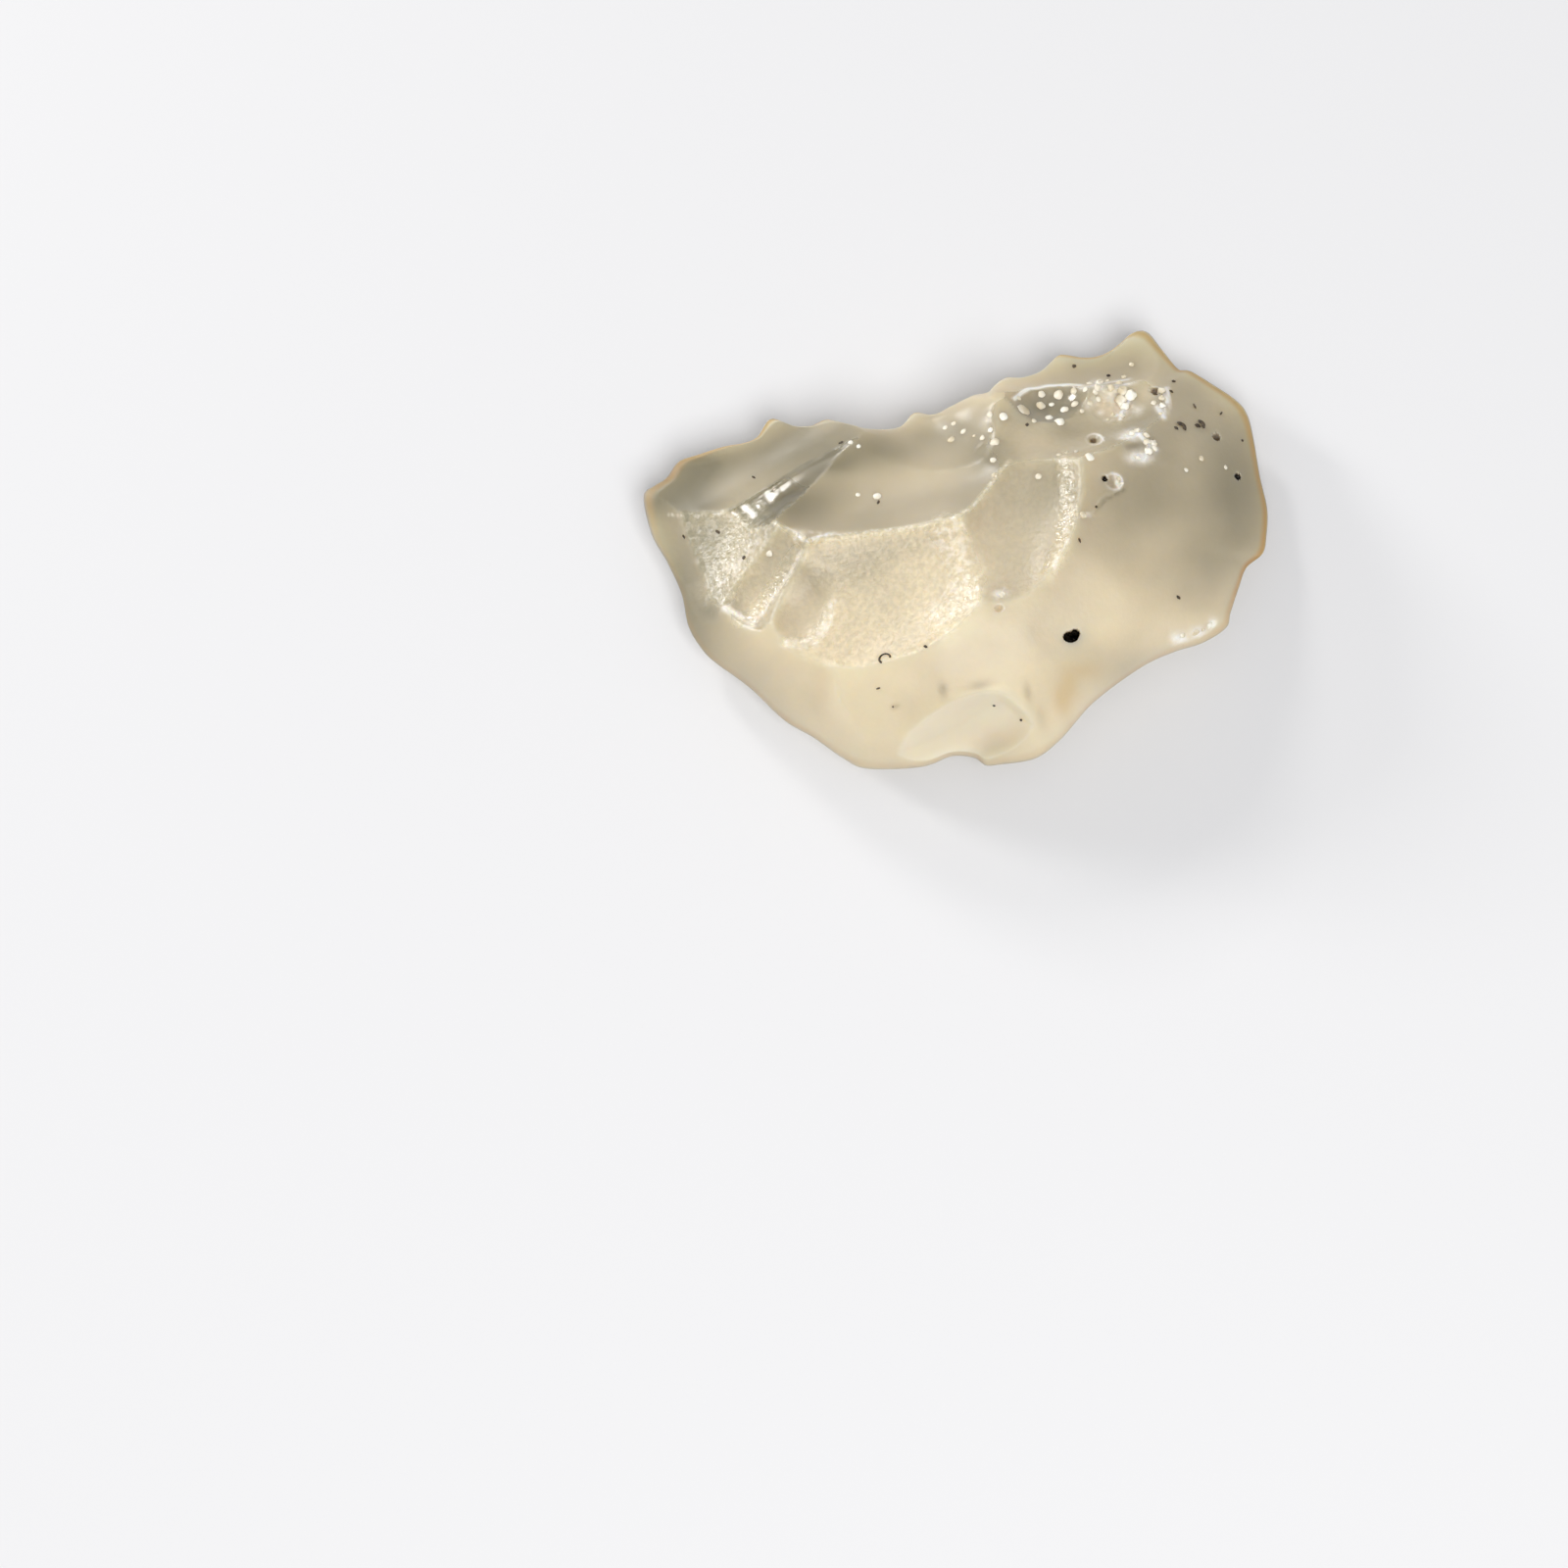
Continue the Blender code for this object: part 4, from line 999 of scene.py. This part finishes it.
specks = bmesh.new()
for number, (x, y, half_length, half_width) in enumerate(SPECKS):
    place, normal = touch_flake(x, y)
    lying = Matrix.Translation(place) @ normal.to_track_quat("Z", "Y").to_matrix().to_4x4()
    turned = Matrix.Rotation(number * SPECK_TURN, 4, "Z")
    flat_size = Matrix.Diagonal((half_length * MM, half_width * MM, SPECK_THICKNESS * MM, 1))
    settled = bmesh.ops.create_icosphere(specks, subdivisions=2, radius=1)["verts"]
    for vertex in settled:
        lump = noise.noise(vertex.co * LUMP_CLOSENESS + Vector((number, 0, 0)))
        vertex.co *= 1 + SPECK_LUMPS * lump
    bmesh.ops.transform(specks, matrix=lying @ turned @ flat_size, verts=settled)
for x, y, radius, start, run, thickness in SHADOW_ARCS:
    place, normal = touch_flake(x, y)
    lying = Matrix.Translation(place) @ normal.to_track_quat("Z", "Y").to_matrix().to_4x4()
    lying = lying @ Matrix.Rotation(math.radians(start), 4, "Z")
    around = Matrix.Translation((radius * MM, 0, 0)) @ Matrix.Rotation(math.pi / 2, 4, "X")
    rim = bmesh.ops.create_circle(
        specks, segments=8, radius=thickness * MM, cap_ends=True, matrix=lying @ around
    )["verts"]
    rim_edges = list(dict.fromkeys(edge for vertex in rim for edge in vertex.link_edges))
    rim_faces = list(dict.fromkeys(face for vertex in rim for face in vertex.link_faces))
    bmesh.ops.spin(
        specks,
        geom=rim + rim_edges + rim_faces,
        cent=place,
        axis=normal,
        angle=math.radians(run),
        steps=ARC_STEPS,
    )


def face_order(face):
    """A number made from the first two points and the last point of a face."""
    points = sorted(vertex.index for vertex in face.verts)
    return (points[0] * len(specks.verts) + points[1]) * len(specks.verts) + points[-1]


# A spin leaves its faces in another order at each run, so all are put in the order of their points
specks.verts.index_update()
specks.faces.sort(key=face_order)
bmesh.ops.recalc_face_normals(specks, faces=specks.faces[:])
specks_mesh = bpy.data.meshes.new("dark_specks")
specks.to_mesh(specks_mesh)
specks.free()
specks_mesh.shade_smooth()
dark_specks = bpy.data.objects.new("dark_specks", specks_mesh)
bpy.context.scene.collection.objects.link(dark_specks)

# The specks' dust and the arcs' painted shadow share this dark material
dust = bpy.data.materials.new("packed_dust_and_shadow")
dust.use_nodes = True
nodes = dust.node_tree.nodes
links = dust.node_tree.links
shader = nodes["Principled BSDF"]
shader.inputs["Roughness"].default_value = DUST_ROUGHNESS
place_in_piece = nodes.new("ShaderNodeTexCoord").outputs["Object"]
sandy = spread_to(random_spots(SANDY_SPOTS_A_METRE, 2), 0.0, 1.0, *SANDY_SPOTS)
links.new(blend_colours(sandy, DARK_DUST, SANDY_DUST), shader.inputs["Base Color"])
specks_mesh.materials.append(dust)
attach(dark_specks, "root")

# THE TABLE
# A plain pale sheet of paper for the flake to lie on, far wider than the picture. It belongs to
# the studio and not to the stone.

FLOOR_HALF = 0.6
PAPER_GREY = (0.73, 0.73, 0.74, 1)
PAPER_ROUGHNESS = 0.8

sheet = bmesh.new()
bmesh.ops.create_grid(sheet, x_segments=1, y_segments=1, size=FLOOR_HALF)
sheet_mesh = bpy.data.meshes.new("floor")
sheet.to_mesh(sheet_mesh)
sheet.free()
floor = bpy.data.objects.new("floor", sheet_mesh)
bpy.context.scene.collection.objects.link(floor)
paper = bpy.data.materials.new("pale_paper")
paper.use_nodes = True
shader = paper.node_tree.nodes["Principled BSDF"]
shader.inputs["Base Color"].default_value = PAPER_GREY
shader.inputs["Roughness"].default_value = PAPER_ROUGHNESS
sheet_mesh.materials.append(paper)

# THE LIGHT
# Low daylight from the left and behind, as in the photograph, a key from behind for the glints in
# the groove, and a soft, wide fill from the front and above, all in a pale room.

ROOM_TINT = (0.93, 0.95, 1.0, 1)
ROOM_STRENGTH = 0.38


def soft_light(name, place, size, power, tint):
    """A square soft light at place, in metres, turned to the flake."""
    lamp = bpy.data.lights.new(name, "AREA")
    lamp.size = size
    lamp.energy = power
    lamp.color = tint
    light = bpy.data.objects.new(name, lamp)
    light.location = place
    light.rotation_euler = Vector(place).to_track_quat("Z", "Y").to_euler()
    bpy.context.scene.collection.objects.link(light)


soft_light("window", (-0.31, 0.235, 0.13), 0.075, 0.77, (1.0, 0.99, 0.97))
soft_light("key", (-0.141, 0.362, 0.186), 0.065, 0.50, (1.0, 0.98, 0.95))
soft_light("fill", (0.06, -0.26, 0.38), 0.30, 1.75, (1.0, 0.99, 0.97))

world = bpy.data.worlds.new("studio")
bpy.context.scene.world = world
world.use_nodes = True
world.node_tree.nodes["Background"].inputs["Color"].default_value = ROOM_TINT
world.node_tree.nodes["Background"].inputs["Strength"].default_value = ROOM_STRENGTH

# THE CAMERA
# Almost straight down on the flake, from the place that the photograph was taken. The flake isn't
# in the middle of that picture, so the lens looks a little to one side of it.

# The photograph's side and its lens's focal length in pixels, how many pixels a millimetre of the
# flake takes, how far the view is turned and how high it stands in degrees, and the pixel where
# the aim point on the flake, in metres, is seen
PICTURE_SIDE = 1600
FOCAL_PIXELS = 3066
PIXELS_PER_MM = 18.44
VIEW_TURN = -10.0
VIEW_RISE = 75.0
AIM_PIXEL = (985, 570)
AIM_POINT = Vector((0.0002, 0.0008, 0.0))

# The width of the camera's picture sensor in millimetres
SENSOR = 36.0

lens = bpy.data.cameras.new("camera")
lens.sensor_width = SENSOR
lens.lens = SENSOR * FOCAL_PIXELS / PICTURE_SIDE
lens.clip_start = 0.005
camera = bpy.data.objects.new("camera", lens)
bpy.context.scene.collection.objects.link(camera)
turn = math.radians(VIEW_TURN)
rise = math.radians(VIEW_RISE)
away = Vector(
    (math.sin(turn) * math.cos(rise), -math.cos(turn) * math.cos(rise), math.sin(rise))
)
stand = AIM_POINT + away * (FOCAL_PIXELS / PIXELS_PER_MM * MM)
straight = (-away).to_track_quat("-Z", "Y").to_matrix()
half = PICTURE_SIDE / 2
aside = Vector(
    ((AIM_PIXEL[0] - half) / FOCAL_PIXELS, (half - AIM_PIXEL[1]) / FOCAL_PIXELS, -1)
)
swing = aside.normalized().rotation_difference(Vector((0, 0, -1))).to_matrix()
camera.matrix_world = Matrix.Translation(stand) @ (straight @ swing).to_4x4()
bpy.context.scene.camera = camera
bpy.context.scene.view_settings.view_transform = "Standard"

# Light that goes through the glass is followed a few turns further than light off its skin
bpy.context.scene.cycles.max_bounces = 6
bpy.context.scene.cycles.transmission_bounces = 6
bpy.context.scene.cycles.diffuse_bounces = 2

bpy.context.view_layer.update()
